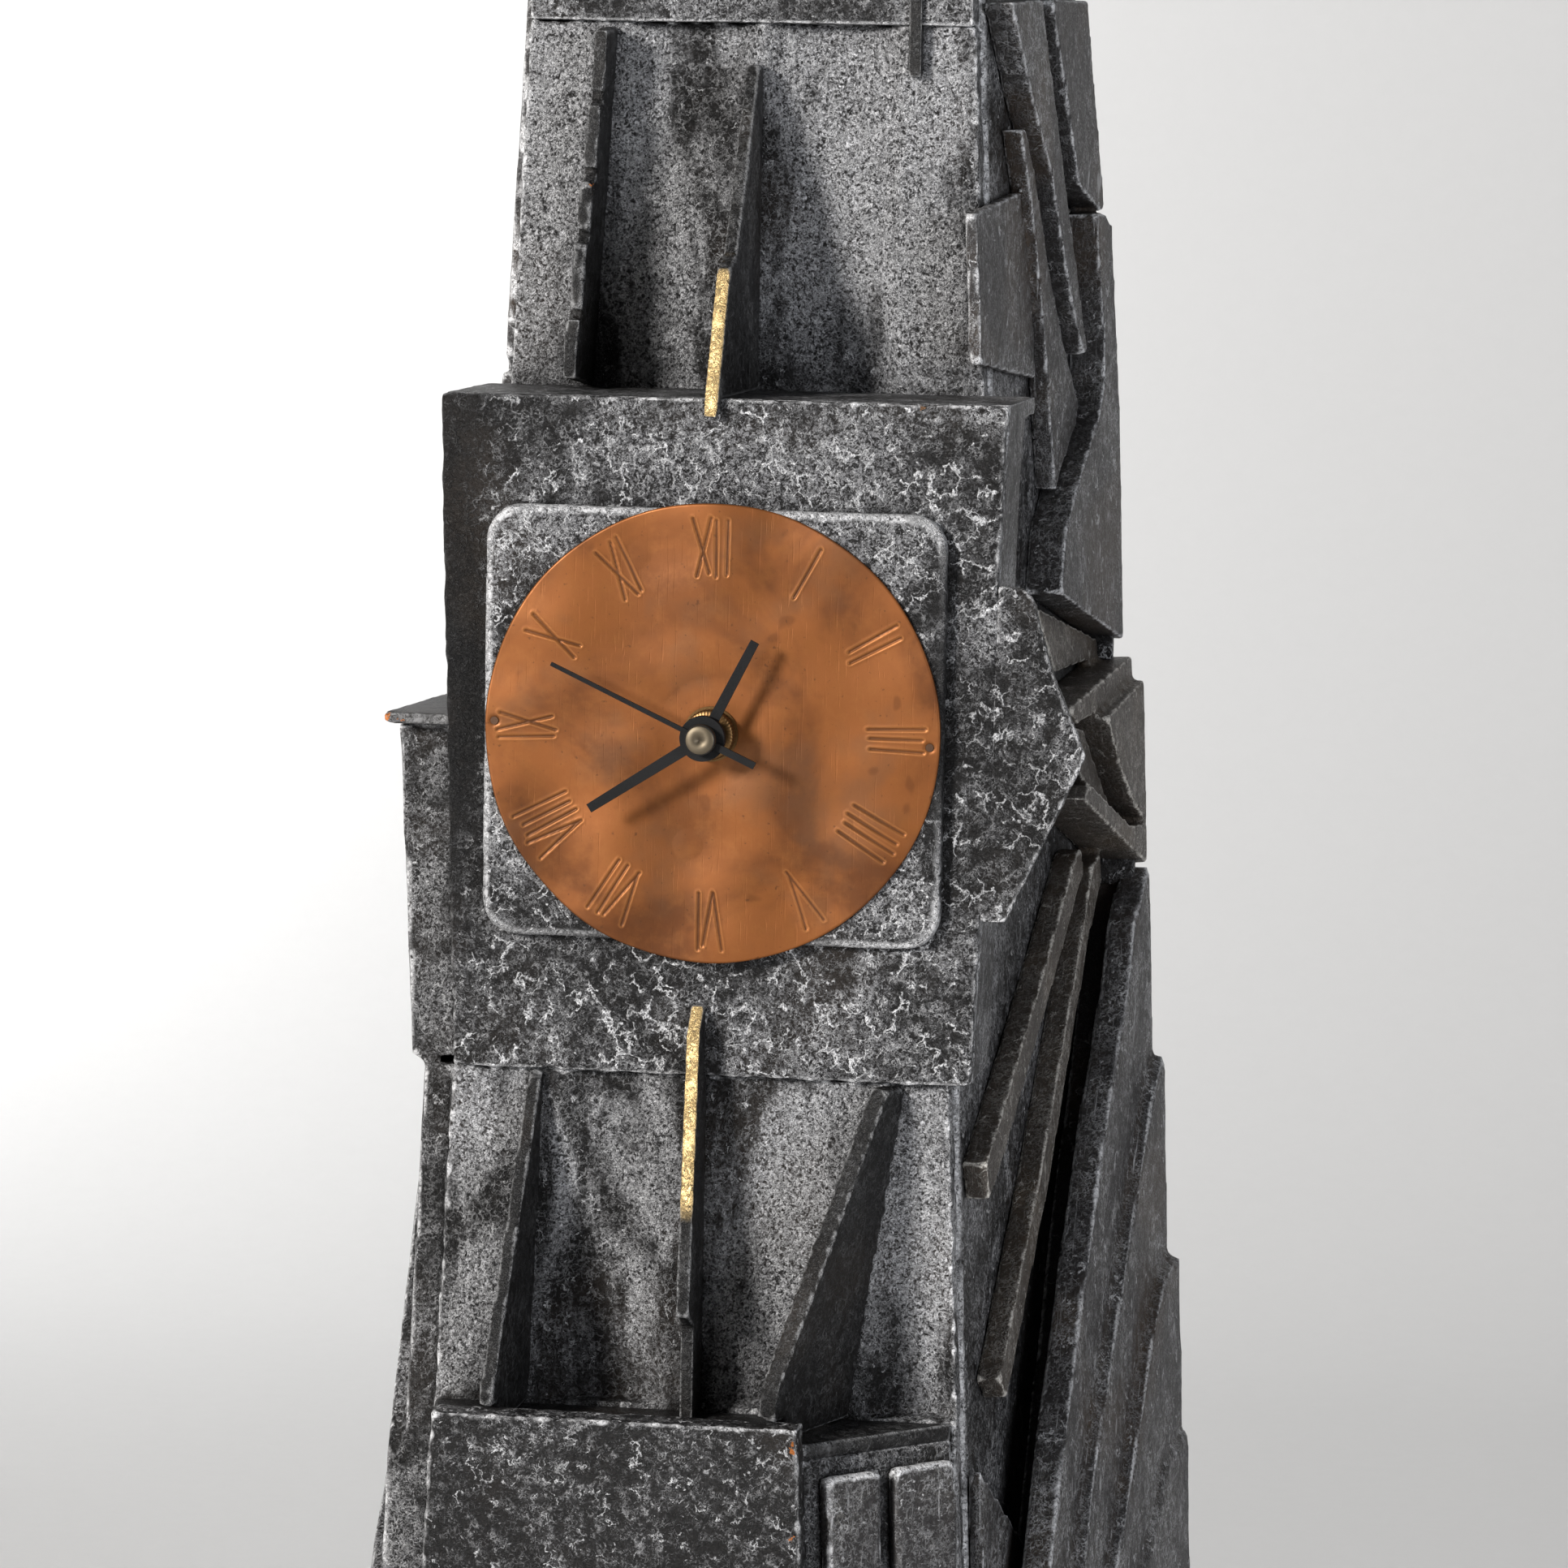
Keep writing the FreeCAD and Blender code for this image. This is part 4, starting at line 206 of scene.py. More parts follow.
@dataclass(frozen=True)
class BoardPaint(Finish):
    """Thick black paint on board, worked while wet and dry-brushed with silver once it was hard.

    In millimetres: vein and net are the cells of the long and the fine ridges, worm is the spacing
    of the short ones, speckle and grit break up the brush's marks, patch is the size of its
    strokes, and shade_reach is how far the ambient occlusion looks that keeps silver off near
    corners and in recesses, which paints their shade.
    """

    texture: Texture = Texture.CRACKLED
    black: str = "#0D0C0C"
    grey: str = "#A4A4A7"
    silver: str = "#E8E8EA"
    umber: str = "#26201B"
    wood: str = "#B06A35"
    vein: float = 5.0
    net: float = 2.3
    worm: float = 1.9
    speckle: float = 1.2
    grit: float = 0.7
    patch: float = 34
    dust: float = 55
    shade_reach: float = 30
    relief: float = 1.2
    streak: float = 1.0
    veins: float = 0.8
    bare: float = 0.0
    soft: float = 0.0
    brushed: float = 0.6
    worn_edge: float = 0.8
    scratch: float = 0.0
    gold: str = ""
    gold_from: float = 0.0
    gold_to: float = 0.0

    def cell_lines(self, add: Adder, where: Socket, size: float, wide: float) -> Socket:
        """Lines along the borders of cells.

        Args:
            add: Adds a node to the material.
            where: Coordinates.
            size: Cell size in millimetres.
            wide: Half of a line's width as a share of the cell size.

        Returns:
            1 on the lines and 0 between them.
        """
        away = add("TexVoronoi", {"Vector": where, "Scale": per_mm(size)}, "Distance",
                   feature="DISTANCE_TO_EDGE")
        return add("MapRange", (away, 0.0, wide, 1, 0), **STEP)

    def ridges(self, add: Adder, where: Socket) -> tuple[Socket, Socket, Socket]:
        """Ridges of the wet paint: long branching ones, a net of fine ones and short crooked ones.

        Args:
            add: Adds a node to the material.
            where: Coordinates.

        Returns:
            The long ridges, the fine net and the short ridges, each from 0 to 1.
        """
        bend = add("TexNoise", grain(self.vein * 0.7, where, 4, 0.65), "Color")
        shift = add("VectorMath", (bend, (self.vein * 1.3 * MM,) * 3), **TIMES)
        moved = add("VectorMath", (where, shift), operation="ADD")
        rare, common = (level + self.bare for level in self.texture.value)
        where_long = add("TexNoise", grain(self.vein * 0.9, where, 3, 0.6))
        where_long = add("MapRange", (where_long, rare, rare + 0.05), **STEP)
        veins = self.cell_lines(add, moved, self.vein, 0.075)
        long = add("Math", (veins, where_long), **TIMES)
        where_net = add("TexNoise", grain(4, where, 3, 0.6))
        where_net = add("MapRange", (where_net, common, common + 0.14), **STEP)
        cells = self.cell_lines(add, moved, self.net, 0.16)
        net = add("Math", (cells, where_net), **TIMES)
        wave = add("TexNoise", grain(self.worm, where, 3, 0.6, 0.8))
        fold = add("Math", (add("Math", (wave, 0.5), **LESS),), operation="ABSOLUTE")
        fold = add("MapRange", (fold, 0.0, 0.045, 1, 0), **STEP)
        broken = add("TexNoise", grain(self.worm * 2.2, where, 2))
        broken = add("MapRange", (broken, 0.44, 0.56), **STEP)
        return long, net, add("Math", (fold, broken), **TIMES)

    def brushing(self, add: Adder, raw: Socket, speckle: Socket, grit: Socket,
                 unoccluded: Socket) -> tuple[Socket, Socket, Socket]:
        """Where the silver goes: dry brushing, painted shade in corners and the dabs' painted
        light.

        Args:
            add: Adds a node to the material.
            raw: Plain coordinates.
            speckle: Coarse noise that breaks up its marks.
            grit: Fine noise that does.
            unoccluded: Ambient occlusion, low in corners, where keeping silver off paints shade.

        Returns:
            Haze of silver between the ridges, how much the ridges took, and where the dabs
            keep it dark.
        """
        brush_and_light = add("Attribute", out="Fac", attribute_name="brush_and_light")
        pulled = add("Mapping", drawn(raw, (1, 1, self.streak)))
        stroke = add("TexNoise", grain(self.patch, pulled, 5, 0.62, 0.7))
        drift = add("Math", (brush_and_light, 0.22, stroke), **TIMES_PLUS)
        drift = add("MapRange", (drift, 0.43, 0.63), **STEP)
        drift = add("Math", (drift, unoccluded), **TIMES)
        kept_dark = add("MapRange", (brush_and_light, -0.9, -0.1, 0.12, 1), **STEP)
        marks = add("MapRange", (speckle, 0.46 - self.soft, 0.56 + self.soft), **STEP)
        dots = add("MapRange", (grit, 0.4 - self.soft, 0.58 + self.soft, 0.2, 1), **STEP)
        haze = add("Math", (add("Math", (marks, dots), **TIMES), drift), **TIMES)
        haze = add("Math", (haze, self.brushed), **TIMES)
        lit = add("Math", (drift, 0.6, add("Math", (unoccluded, 0.4), **TIMES)), **TIMES_PLUS)
        return haze, add("Math", (lit, kept_dark), **TIMES), kept_dark

    def rubbed_edges(self, add: Adder, speckle: Socket) -> Socket:
        """Silver on the sawn edges, except where the dabs keep it dark, as in the pad's painted
        shade.

        Args:
            add: Adds a node to the material.
            speckle: Noise that breaks it up.

        Returns:
            Share of silver.
        """
        edge = add("Attribute", out="Fac", attribute_name="edge")
        edge = add("MapRange", (edge, 0.15, 0.33), **STEP)
        worn = add("Math", (edge, add("MapRange", (speckle, 0.34, 0.52), **STEP)), **TIMES)
        brush_and_light = add("Attribute", out="Fac", attribute_name="brush_and_light")
        kept = add("MapRange", (brush_and_light, -0.6, 0.0, 0.05, 1), **STEP)
        worn = add("Math", (worn, kept), **TIMES)
        return add("Math", (worn, self.worn_edge), **TIMES)

    def scratches(self, add: Adder, raw: Socket, unoccluded: Socket) -> Socket:
        """Hair-fine marks along a board and across it.

        Args:
            add: Adds a node to the material.
            raw: Plain coordinates.
            unoccluded: Ambient occlusion, low in corners, where keeping marks off paints shade.

        Returns:
            Share of silver.
        """
        line = add("TexNoise", grain(1.0, add("Mapping", drawn(raw, (1, 0.05, 0.05))), 3, 0.7))
        cross = add("TexNoise", grain(1.2, add("Mapping", drawn(raw, (0.3, 0.3, 1), -35)), 3, 0.7))
        marks = add("Math", (add("MapRange", (line, 0.6, 0.74), **STEP),
                             add("MapRange", (cross, 0.62, 0.76), **STEP)), **LARGER)
        marks = add("Math", (marks, self.scratch), **TIMES)
        return add("Math", (marks, unoccluded), **TIMES)

    def leaf(self, add: Adder, where: Socket, speckle: Socket) -> Socket:
        """Where the leaf is left: on the fin's front edge, between two heights.

        Args:
            add: Adds a node to the material.
            where: Coordinates.
            speckle: Noise that breaks it up.

        Returns:
            Share of gold.
        """
        z = add("SeparateXYZ", (where,), 2)
        fade, start, end = 4 * MM, self.gold_from * MM, self.gold_to * MM
        low = add("MapRange", (z, start - fade, start + fade), **STEP)
        high = add("MapRange", (z, end - fade, end + fade, 1, 0), **STEP)
        y = add("SeparateXYZ", (add("NewGeometry", out="Normal"),), 1)
        front = add("MapRange", (y, -0.75, -0.35, 1, 0), **STEP)
        kept = add("MapRange", (speckle, 0.3, 0.46), **STEP)
        return add("Math", (add("Math", (low, high), **TIMES),
                            add("Math", (front, kept), **TIMES)), **TIMES)

    def build(self, add: Adder) -> dict:
        """Black coat, silver on its high spots and edges, kept out of corners by ambient occlusion
        as painted shade, umber where dust sits, wood in the chips.

        Args:
            add: Adds a node to the material.

        Returns:
            What goes into the shader.
        """
        raw = add("TexCoord", out="Object")
        where = add("Mapping", drawn(raw))
        long, net, short = self.ridges(add, where)
        grit = add("TexNoise", grain(self.grit, where, 3, 0.6))
        speckle = add("TexNoise", grain(self.speckle, where, 4, 0.7, 0.6))
        # Ambient occlusion keeps silver haze, ridges and scratches off in corners and recesses:
        # painted shade
        unoccluded = add("AmbientOcclusion", {"Distance": self.shade_reach * MM}, "AO", samples=4)
        unoccluded = add("MapRange", (unoccluded, 0.2, 0.75), **STEP)
        haze, lit, kept_dark = self.brushing(add, raw, speckle, grit, unoccluded)
        high = add("Math", (add("Math", (net, 0.7), **TIMES),
                            add("Math", (short, 0.6), **TIMES)), **LARGER)
        high = add("Math", (high, lit), **TIMES)
        bold = add("Math", (add("Math", (long, kept_dark), **TIMES),
                            add("MapRange", (lit, 0.0, 0.5, 0.3, 1), **STEP)), **TIMES)
        high = add("Math", (add("Math", (high, bold), **LARGER), self.veins), **TIMES)
        high = add("Math", (high, add("MapRange", (grit, 0.3, 0.5, 0.5, 1), **STEP)), **TIMES)
        silver = add("Math", (high, self.rubbed_edges(add, speckle)), **LARGER)
        if self.scratch:
            silver = add("Math", (silver, self.scratches(add, raw, unoccluded)), **LARGER)
        dust = add("MapRange", (add("TexNoise", grain(self.dust, where, 2)), 0.5, 0.68), **STEP)
        hollow = add("Attribute", out="Fac", attribute_name="hollow")
        warm = add("Math", (hollow, 1.2, add("Math", (dust, 0.5), **TIMES)), **TIMES_PLUS)
        warm = add("Math", (warm, 0.75), operation="MINIMUM")
        colour = linear(self.black)
        for share, over in ((warm, self.umber), (haze, self.grey), (silver, self.silver)):
            colour = add("Mix", tint(share, colour, over), 2, data_type="RGBA")
        shine = add("Math", (add("Math", (silver, haze), **LARGER), 0.35), **TIMES)
        if self.gold:
            gold = self.leaf(add, where, speckle)
            colour = add("Mix", tint(gold, colour, self.gold), 2, data_type="RGBA")
            shine = add("Math", (shine, add("Math", (gold, 0.8), **TIMES)), **LARGER)
        near = add("Attribute", out="Fac", attribute_name="chip")
        flake = add("Math", (add("TexNoise", grain(2.0, where, 3, 0.65)), 2.2, near), **TIMES_PLUS)
        chip = add("Math", (add("MapRange", (flake, 1.55, 1.65), **STEP),
                            add("MapRange", (near, 0, 0.1), **STEP)), **TIMES)
        colour = add("Mix", tint(chip, colour, self.wood), 2, data_type="RGBA")
        shine = add("Math", (shine, add("Math", (1.0, chip), **LESS)), **TIMES)
        height = add("Math", (short, 0.5), **TIMES)
        for part, share in ((long, 0.8), (net, 0.5), (grit, 0.25), (speckle, 0.7)):
            height = add("Math", (part, share, height), **TIMES_PLUS)
        bump = add("Bump", {"Strength": 0.9, "Distance": self.relief * MM, "Height": height})
        return {"Base Color": colour, "Metallic": shine, "Normal": bump, "Specular IOR Level": 0.22,
                "Roughness": add("MapRange", (silver, 0, 1, 0.4, 0.5), **STEP)}


@dataclass(frozen=True)
class CopperSheet(Finish):
    """Sheet copper with a thin warm patina, hammered by hand: soft reflections, cloudy tones."""

    bright: str = "#8F5E34"
    mid: str = "#714321"
    brown: str = "#4F2D16"
    dull: str = "#543B29"
    dark: str = "#3A2415"
    cloud: float = 46
    mist: float = 30
    spot: float = 9
    pit: float = 1.6
    scratch: float = 0.7
    scratch_tilt: float = 48
    relief: float = 0.5

    def build(self, add: Adder) -> dict:
        """Clouds of patina, small dark spots, fine scratches, painted shade in the cuts and pin
        holes, and a painted highlight on the cuts' lips.

        Args:
            add: Adds a node to the material.

        Returns:
            What goes into the shader.
        """
        raw = add("TexCoord", out="Object")
        where = add("Mapping", drawn(raw))
        cloud = add("TexNoise", grain(self.cloud, where, 4, 0.55, 0.8))
        fine = add("TexNoise", grain(5, where, 5, 0.65))
        mist = add("TexNoise", grain(self.mist, where, 3, 0.6))
        spots = add("TexNoise", grain(self.spot, where, 1))
        pits = add("TexNoise", grain(self.pit, where, 2))
        cut = add("Attribute", out="Fac", attribute_name="cut")
        lip_and_highlight = add("Attribute", out="Fac", attribute_name="lip_and_highlight")
        colour = linear(self.brown)
        # Dark in the cuts and pin holes is painted shade; bright on the cuts' lips is a painted
        # highlight
        for value, low, high, most, over in (
                (cloud, 0.34, 0.62, 1, self.mid), (fine, 0.42, 0.75, 0.18, self.bright),
                (mist, 0.5, 0.68, 0.4, self.dull), (spots, 0.7, 0.78, 0.5, self.brown),
                (pits, 0.66, 0.76, 0.55, self.dark), (cut, 0.3, 1.0, 0.75, self.dark),
                (lip_and_highlight, 0.2, 0.9, 0.35, self.bright)):
            share = add("MapRange", (value, low, high, 0, most), **STEP)
            colour = add("Mix", tint(share, colour, over), 2, data_type="RGBA")
        across = add("Mapping", drawn(raw, (1, 1, 0.03), self.scratch_tilt))
        scratch = add("TexNoise", grain(self.scratch, across, 2))
        scratch = add("MapRange", (scratch, 0.6, 0.72), **STEP)
        height = add("Math", (scratch, -0.12, cloud), **TIMES_PLUS)
        bump = add("Bump", {"Strength": 0.35, "Distance": self.relief * MM, "Height": height})
        return {"Base Color": colour, "Metallic": 0.45, "Specular IOR Level": 0.15, "Normal": bump,
                "Roughness": add("MapRange", (fine, 0.3, 0.7, 0.5, 0.38), **STEP)}


@dataclass(frozen=True)
class PlainStock(Finish):
    """Machined metal or moulded plastic with a fine grain and slight toning."""

    colour: str = "#808080"
    second: str = "#606060"
    metallic: float = 0.0
    roughness: float = 0.5
    ior: float = 1.5
    grain_mm: float = 0.6
    drift_mm: float = 12
    ring_mm: float = 2.5
    stretch: tuple[float, float, float] = (1, 1, 1)
    relief: float = 0.05
    tone: float = 0.4
    gloss: float = 0.5
    turned: bool = False

    def build(self, add: Adder) -> dict:
        """Two tones in a slow drift, and grain in the gloss and the relief.

        Args:
            add: Adds a node to the material.

        Returns:
            What goes into the shader.
        """
        raw = add("TexCoord", out="Object")
        fine = add("TexNoise", grain(self.grain_mm, add("Mapping", drawn(raw, self.stretch))))
        plain = add("Mapping", drawn(raw))
        slow = add("TexNoise", grain(self.drift_mm, plain))
        if self.turned:
            rings = add("TexWave", {"Vector": plain, "Scale": per_mm(self.ring_mm)}, "Fac",
                        bands_direction="Y")
            fine = add("Math", (fine, 0.5), **TIMES)
            fine = add("Math", (rings, 0.5, fine), **TIMES_PLUS)
        share = add("Math", (add("MapRange", (slow, 0.35, 0.68), **STEP), self.tone), **TIMES)
        bump = add("Bump", {"Strength": 0.5, "Distance": self.relief * MM, "Height": fine})
        rough = (fine, 0.3, 0.7, self.roughness - 0.06, self.roughness + 0.06)
        tones = tint(share, linear(self.colour), self.second)
        inputs = {"Base Color": add("Mix", tones, 2, data_type="RGBA"), "Metallic": self.metallic,
                  "Roughness": add("MapRange", rough, **STEP), "Normal": bump}
        if not self.metallic:
            inputs |= {"IOR": self.ior, "Specular IOR Level": self.gloss}
        return inputs


@dataclass(frozen=True)
class Paper(PlainStock):
    """Studio paper that shows on its lit side only, so that the clock is seen from behind too."""

    def build(self, add: Adder) -> dict:
        """Matt stock in front, clear at the back.

        Args:
            add: Adds a node to the material.

        Returns:
            What goes into the shader.
        """
        behind = add("NewGeometry", out="Backfacing")
        return super().build(add) | {"Alpha": add("Math", (1.0, behind), **LESS)}


# Dry-brushed silver over crackled black: the eye reads a net of bright ridges
CRACKLED = BoardPaint("crackled_black_paint_dry_brushed_silver", "painted_board")
# The dial block was dabbed with a stiff brush, so its ridges branch and stand higher
DABBED = BoardPaint("dabbed_black_paint_dry_brushed_silver", "painted_board", Texture.DABBED,
                    wood="#7E5F45", vein=7.5, brushed=0.5, veins=1.0, relief=1.5)
# Fronts that were brushed most: broad pale patches with dark pits
PALE = BoardPaint("pale_brushed_crackled_paint", "painted_board", grey="#CACACD", vein=4.4,
                  worm=2.2, brushed=1.0, veins=1.0, relief=1.5, patch=20, streak=0.35, soft=0.06)
# Filler in a joint takes the dabbed coat, and has no sawn edge to rub bare
JOINT_PAINT = replace(DABBED, name="dabbed_paint_over_filler", worn_edge=0.0)
# The pad is rounded plaster: the same brush, with a softer silver rim; its dabs add a painted
# highlight at the rim's top and left and painted shade at its right and bottom
PAD_PAINT = BoardPaint("brushed_paint_over_rounded_plaster", "painted_board", Texture.DABBED,
                       vein=6, brushed=0.55, veins=1.0, relief=1.4, worn_edge=0.6)
# The base front keeps more black between short bright marks
DARK = BoardPaint("dark_crackled_paint_sparse_silver", "painted_board", Texture.DABBED, vein=4.6,
                  worm=1.5, brushed=0.1, veins=1.0, bare=0.06, relief=1.3)
# Flank boards: thinner paint, charcoal with hair-fine silver scratches and bright sawn edges
SCRATCHED = BoardPaint("thin_charcoal_paint_scratched_silver", "painted_board", black="#2A2828",
                       grey="#86847F", silver="#DADADC", umber="#453A30", vein=6.5, brushed=0.45,
                       veins=0.85, relief=0.8, scratch=0.5, worn_edge=0.95)
# The same thin paint where the umber of the board's dust stays in it
TANNED = replace(SCRATCHED, name="thin_umber_paint_scratched_silver", black="#37312C",
                 grey="#8C8479", silver="#D6D2CB", umber="#4F4233", veins=0.7, scratch=0.42,
                 worn_edge=0.9)
# Fins: thin paint, nearly black, with grey rubbed edges
FIN_PAINT = BoardPaint("black_paint_rubbed_edges", "painted_board", grey="#4E4D4C",
                       silver="#A4A4A5", vein=5, brushed=0.2, veins=0.3, relief=0.7,
                       worn_edge=0.6, scratch=0.07)
# Worn gold leaf on the front edge of the two centre fins: bright, broken by the black below
UPPER_LEAF = BoardPaint("upper_fin_paint_with_worn_gold_leaf", "gilded_board", grey="#7A7977",
                        silver="#A9A9AA", vein=5, brushed=0.5, veins=0.5, relief=0.7,
                        worn_edge=0.6, gold="#E3C48C", gold_from=560, gold_to=661)
LOWER_LEAF = replace(UPPER_LEAF, name="lower_fin_paint_with_worn_gold_leaf", grey="#5E5D5C",
                     brushed=0.3, veins=0.3, gold_from=375, gold_to=480)
# Warm, clouded and half dull: light spreads wide over it instead of making a mirror
COPPER = CopperSheet("patinated_copper_sheet", "copper_sheet")
# Sprayed matt black aluminium: no gloss, a slight orange peel
HAND_BLACK = PlainStock("matt_black_sprayed_aluminium", "black_metal", "#0D0D0E", "#151516",
                        roughness=0.7, grain_mm=0.5, relief=0.03, gloss=0.15)
# The second hand's cap is darkened brass: a grey-brown dot with rings of the tool
CAP_BRASS = PlainStock("darkened_turned_brass", "black_metal", "#5C5345", "#453E34", 0.9, 0.42,
                       turned=True)
# Bronze for the pins, coloured nearly as dark as the shade in the holes that they stand in: painted
# shade
BRONZE = PlainStock("darkened_bronze_pin", "steel", "#4A3527", "#2E2119", 0.8, 0.5)
# Aged brass off the lathe: brown-gold, with rings of the tool in its gloss
BRASS = PlainStock("turned_brass", "brass_turned", "#664C2E", "#4A3620", 0.9, 0.42, turned=True)
# Pressed brass is the brightest metal at the back: clear yellow with crisp highlights
HINGE_BRASS = PlainStock("pressed_brass", "brass_turned", "#B8954F", "#93743B", 1.0, 0.3)
# Spark-eroded mould: black plastic with an even, slightly glossy grain
CASE_ABS = PlainStock("moulded_black_abs", "case_plastic", "#1A1A1C", "#222224", roughness=0.48,
                      ior=1.53, grain_mm=0.9, relief=0.06)
# Natural acetal looks like ivory, smoother and waxier than the case
ACETAL = PlainStock("moulded_ivory_acetal", "wheel_plastic", "#E4DECB", "#D2CAB4", roughness=0.36,
                    ior=1.48, grain_mm=1.5, relief=0.02)
# Strip steel shows the fine lines of rolling along its length
STEEL = PlainStock("rolled_steel_strip", "steel", "#B5B6B8", "#8E9093", 1.0, 0.32,
                   stretch=(1, 1, 0.08))
# Enamel over copper wire: red-brown turns with narrow bright lines
WINDING = PlainStock("enamelled_copper_wire", "copper_wire", "#A8562A", "#7C3A1A", 0.85, 0.28,
                     grain_mm=0.3, stretch=(1, 0.1, 0.1))
# Lacquered epoxy board: deep green and the glossiest sheet inside
LAMINATE = PlainStock("green_epoxy_laminate", "circuit_green", "#1F5B38", "#174529", roughness=0.3,
                      ior=1.55, grain_mm=0.8)
# Shrink film pulls tight over the cell, so its highlights are long and sharp
CELL_FILM = PlainStock("grey_shrink_film", "cell_wrap", "#4A4F58", "#3A3E46", roughness=0.26)
# Matt paper: no highlight, only the fall of the light
FLOOR_PAPER = Paper("white_paper_sweep", "", "#DADADA", "#D6D6D6", roughness=0.9, grain_mm=3,
                    relief=0.02, tone=0.2)


def body_of_node(node: str) -> str:
    """Name of the CAD body that a node belongs to."""
    return body_of(frame["nodes"][node])[0]


def dress(piece: Object, finish: Finish) -> None:
    """Give an object one finish."""
    piece.data.materials.clear()
    piece.data.materials.append(finish.material())


def finish_node(node: str, finish: Finish) -> None:
    """Give a CAD node that stays in view its finish.

    Args:
        node: Name of the CAD node.
        finish: Its finish.
    """
    item = frame["nodes"][node]
    for held in item.material_slots:
        held.material = finish.material()
    if not item.material_slots:
        item.data.materials.append(finish.material())
    LOG.info("%s keeps its shape in %s", node, finish.name)


def settle(piece: Object, body: str, finish: Finish, stands_for: Sequence[str] = ()) -> None:
    """Let a piece ride on a body, in its finish, in place of CAD nodes.

    Args:
        piece: New object, in place.
        body: Name of the CAD body.
        finish: Its finish.
        stands_for: CAD nodes that it replaces.
    """
    dress(piece, finish)
    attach(piece, body)
    if stands_for:
        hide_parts(*stands_for)
    LOG.info("%s rides on %s with %d faces", piece.name, body, len(piece.data.polygons))


def new_object(name: str, data: bpy.types.ID) -> Object:
    """Link a mesh, a light or a camera into the scene as an object.

    Args:
        name: Object's name.
        data: What it shows.

    Returns:
        The object.
    """
    item = bpy.data.objects.new(name, data)
    bpy.context.scene.collection.objects.link(item)
    return item


def mesh_from(name: str, points: Iterable, faces: Iterable, smooth: bool = True) -> Object:
    """Object from points in metres and faces.

    Args:
        name: Object's name.
        points: Positions in metres.
        faces: Point numbers of each face.
        smooth: Whether its faces are shaded smooth.

    Returns:
        The object.
    """
    mesh = bpy.data.meshes.new(name)
    mesh.from_pydata([tuple(p) for p in points], [], [tuple(f) for f in faces])
    mesh.validate()
    mesh.polygons.foreach_set("use_smooth", [smooth] * len(mesh.polygons))
    return new_object(name, mesh)


def apply_modifiers(piece: Object) -> None:
    """Work an object's modifiers into its mesh.

    Args:
        piece: Object.
    """
    graph = bpy.context.evaluated_depsgraph_get()
    graph.update()
    mesh = bpy.data.meshes.new_from_object(piece.evaluated_get(graph))
    piece.modifiers.clear()
    piece.data = mesh


@contextmanager
def edited(mesh: Mesh) -> Iterator[bmesh.types.BMesh]:
    """Open a mesh for editing, and write it back afterwards.

    Args:
        mesh: Mesh.

    Returns:
        Its editable form.
    """
    work = bmesh.new()
    work.from_mesh(mesh)
    yield work
    work.to_mesh(mesh)
    work.free()


def quads(rows: int, columns: int, ring: bool = True, closed: bool = True) -> list[tuple[int, ...]]:
    """Faces between rows of points.

    Args:
        rows: Number of rows.
        columns: Points in each row.
        ring: Whether the last row joins the first.
        closed: Whether a row's last point joins its first.

    Returns:
        Point numbers of each face.
    """
    return [(i * columns + k, i * columns + (k + 1) % columns,
             (i + 1) % rows * columns + (k + 1) % columns, (i + 1) % rows * columns + k)
            for i in range(rows if ring else rows - 1)
            for k in range(columns if closed else columns - 1)]


def copy_of(node: str, name: str) -> Object:
    """Copy a CAD node's shape and join its doubled corners.

    Args:
        node: Name of the CAD node.
        name: Name for the copy.

    Returns:
        The copy.
    """
    mesh = frame["nodes"][node].data.copy()
    mesh.name = name
    with edited(mesh) as work:
        bmesh.ops.remove_doubles(work, verts=work.verts, dist=1e-6)
    return new_object(name, mesh)


def vectors(items: bpy.types.bpy_prop_collection, name: str) -> np.ndarray:
    """Read one vector of every corner of a mesh.

    Args:
        items: The mesh's vertices or vertex normals.
        name: Name of the property that holds the vector.

    Returns:
        One row of X, Y and Z for each corner.
    """
    flat = np.empty(len(items) * 3, np.float32)
    items.foreach_get(name, flat)
    return flat.reshape(-1, 3).astype(float)


def store(mesh: Mesh, name: str, values: np.ndarray) -> None:
    """Keep one number for each point of a mesh."""
    held = mesh.attributes.new(name, "FLOAT", "POINT")
    held.data.foreach_set("value", values.astype(np.float32))


@dataclass
class EdgeWear:
    """Finds a sculpted board's outer edges and inner corners, for rubbed silver and dust."""

    spread: int = 1

    def mark(self, mesh: Mesh, grid: float) -> None:
        """Store how far each point stands out from, or back from, its neighbours.

        Args:
            mesh: Evenly divided mesh.
            grid: Its spacing in millimetres.
        """
        count = len(mesh.vertices)
        points = vectors(mesh.vertices, "co")
        normals = vectors(mesh.vertex_normals, "vector")
        pairs = np.empty(len(mesh.edges) * 2, np.int32)
        mesh.edges.foreach_get("vertices", pairs)
        first, second = pairs[0::2], pairs[1::2]
        ends = np.concatenate([first, second])
        others = np.concatenate([second, first])
        degree = np.maximum(np.bincount(ends, minlength=count), 1)
        mean = np.stack([np.bincount(ends, points[others, axis], count) / degree
                         for axis in range(3)], 1)
        stand = ((points - mean) * normals).sum(1) / (grid * MM)
        for _ in range(self.spread):
            stand = 0.5 * stand + 0.5 * np.bincount(ends, stand[others], count) / degree
        store(mesh, "edge", np.clip(stand * (1.5 + self.spread / 2), 0, 1))
        store(mesh, "hollow", np.clip(-stand * 2, 0, 1))


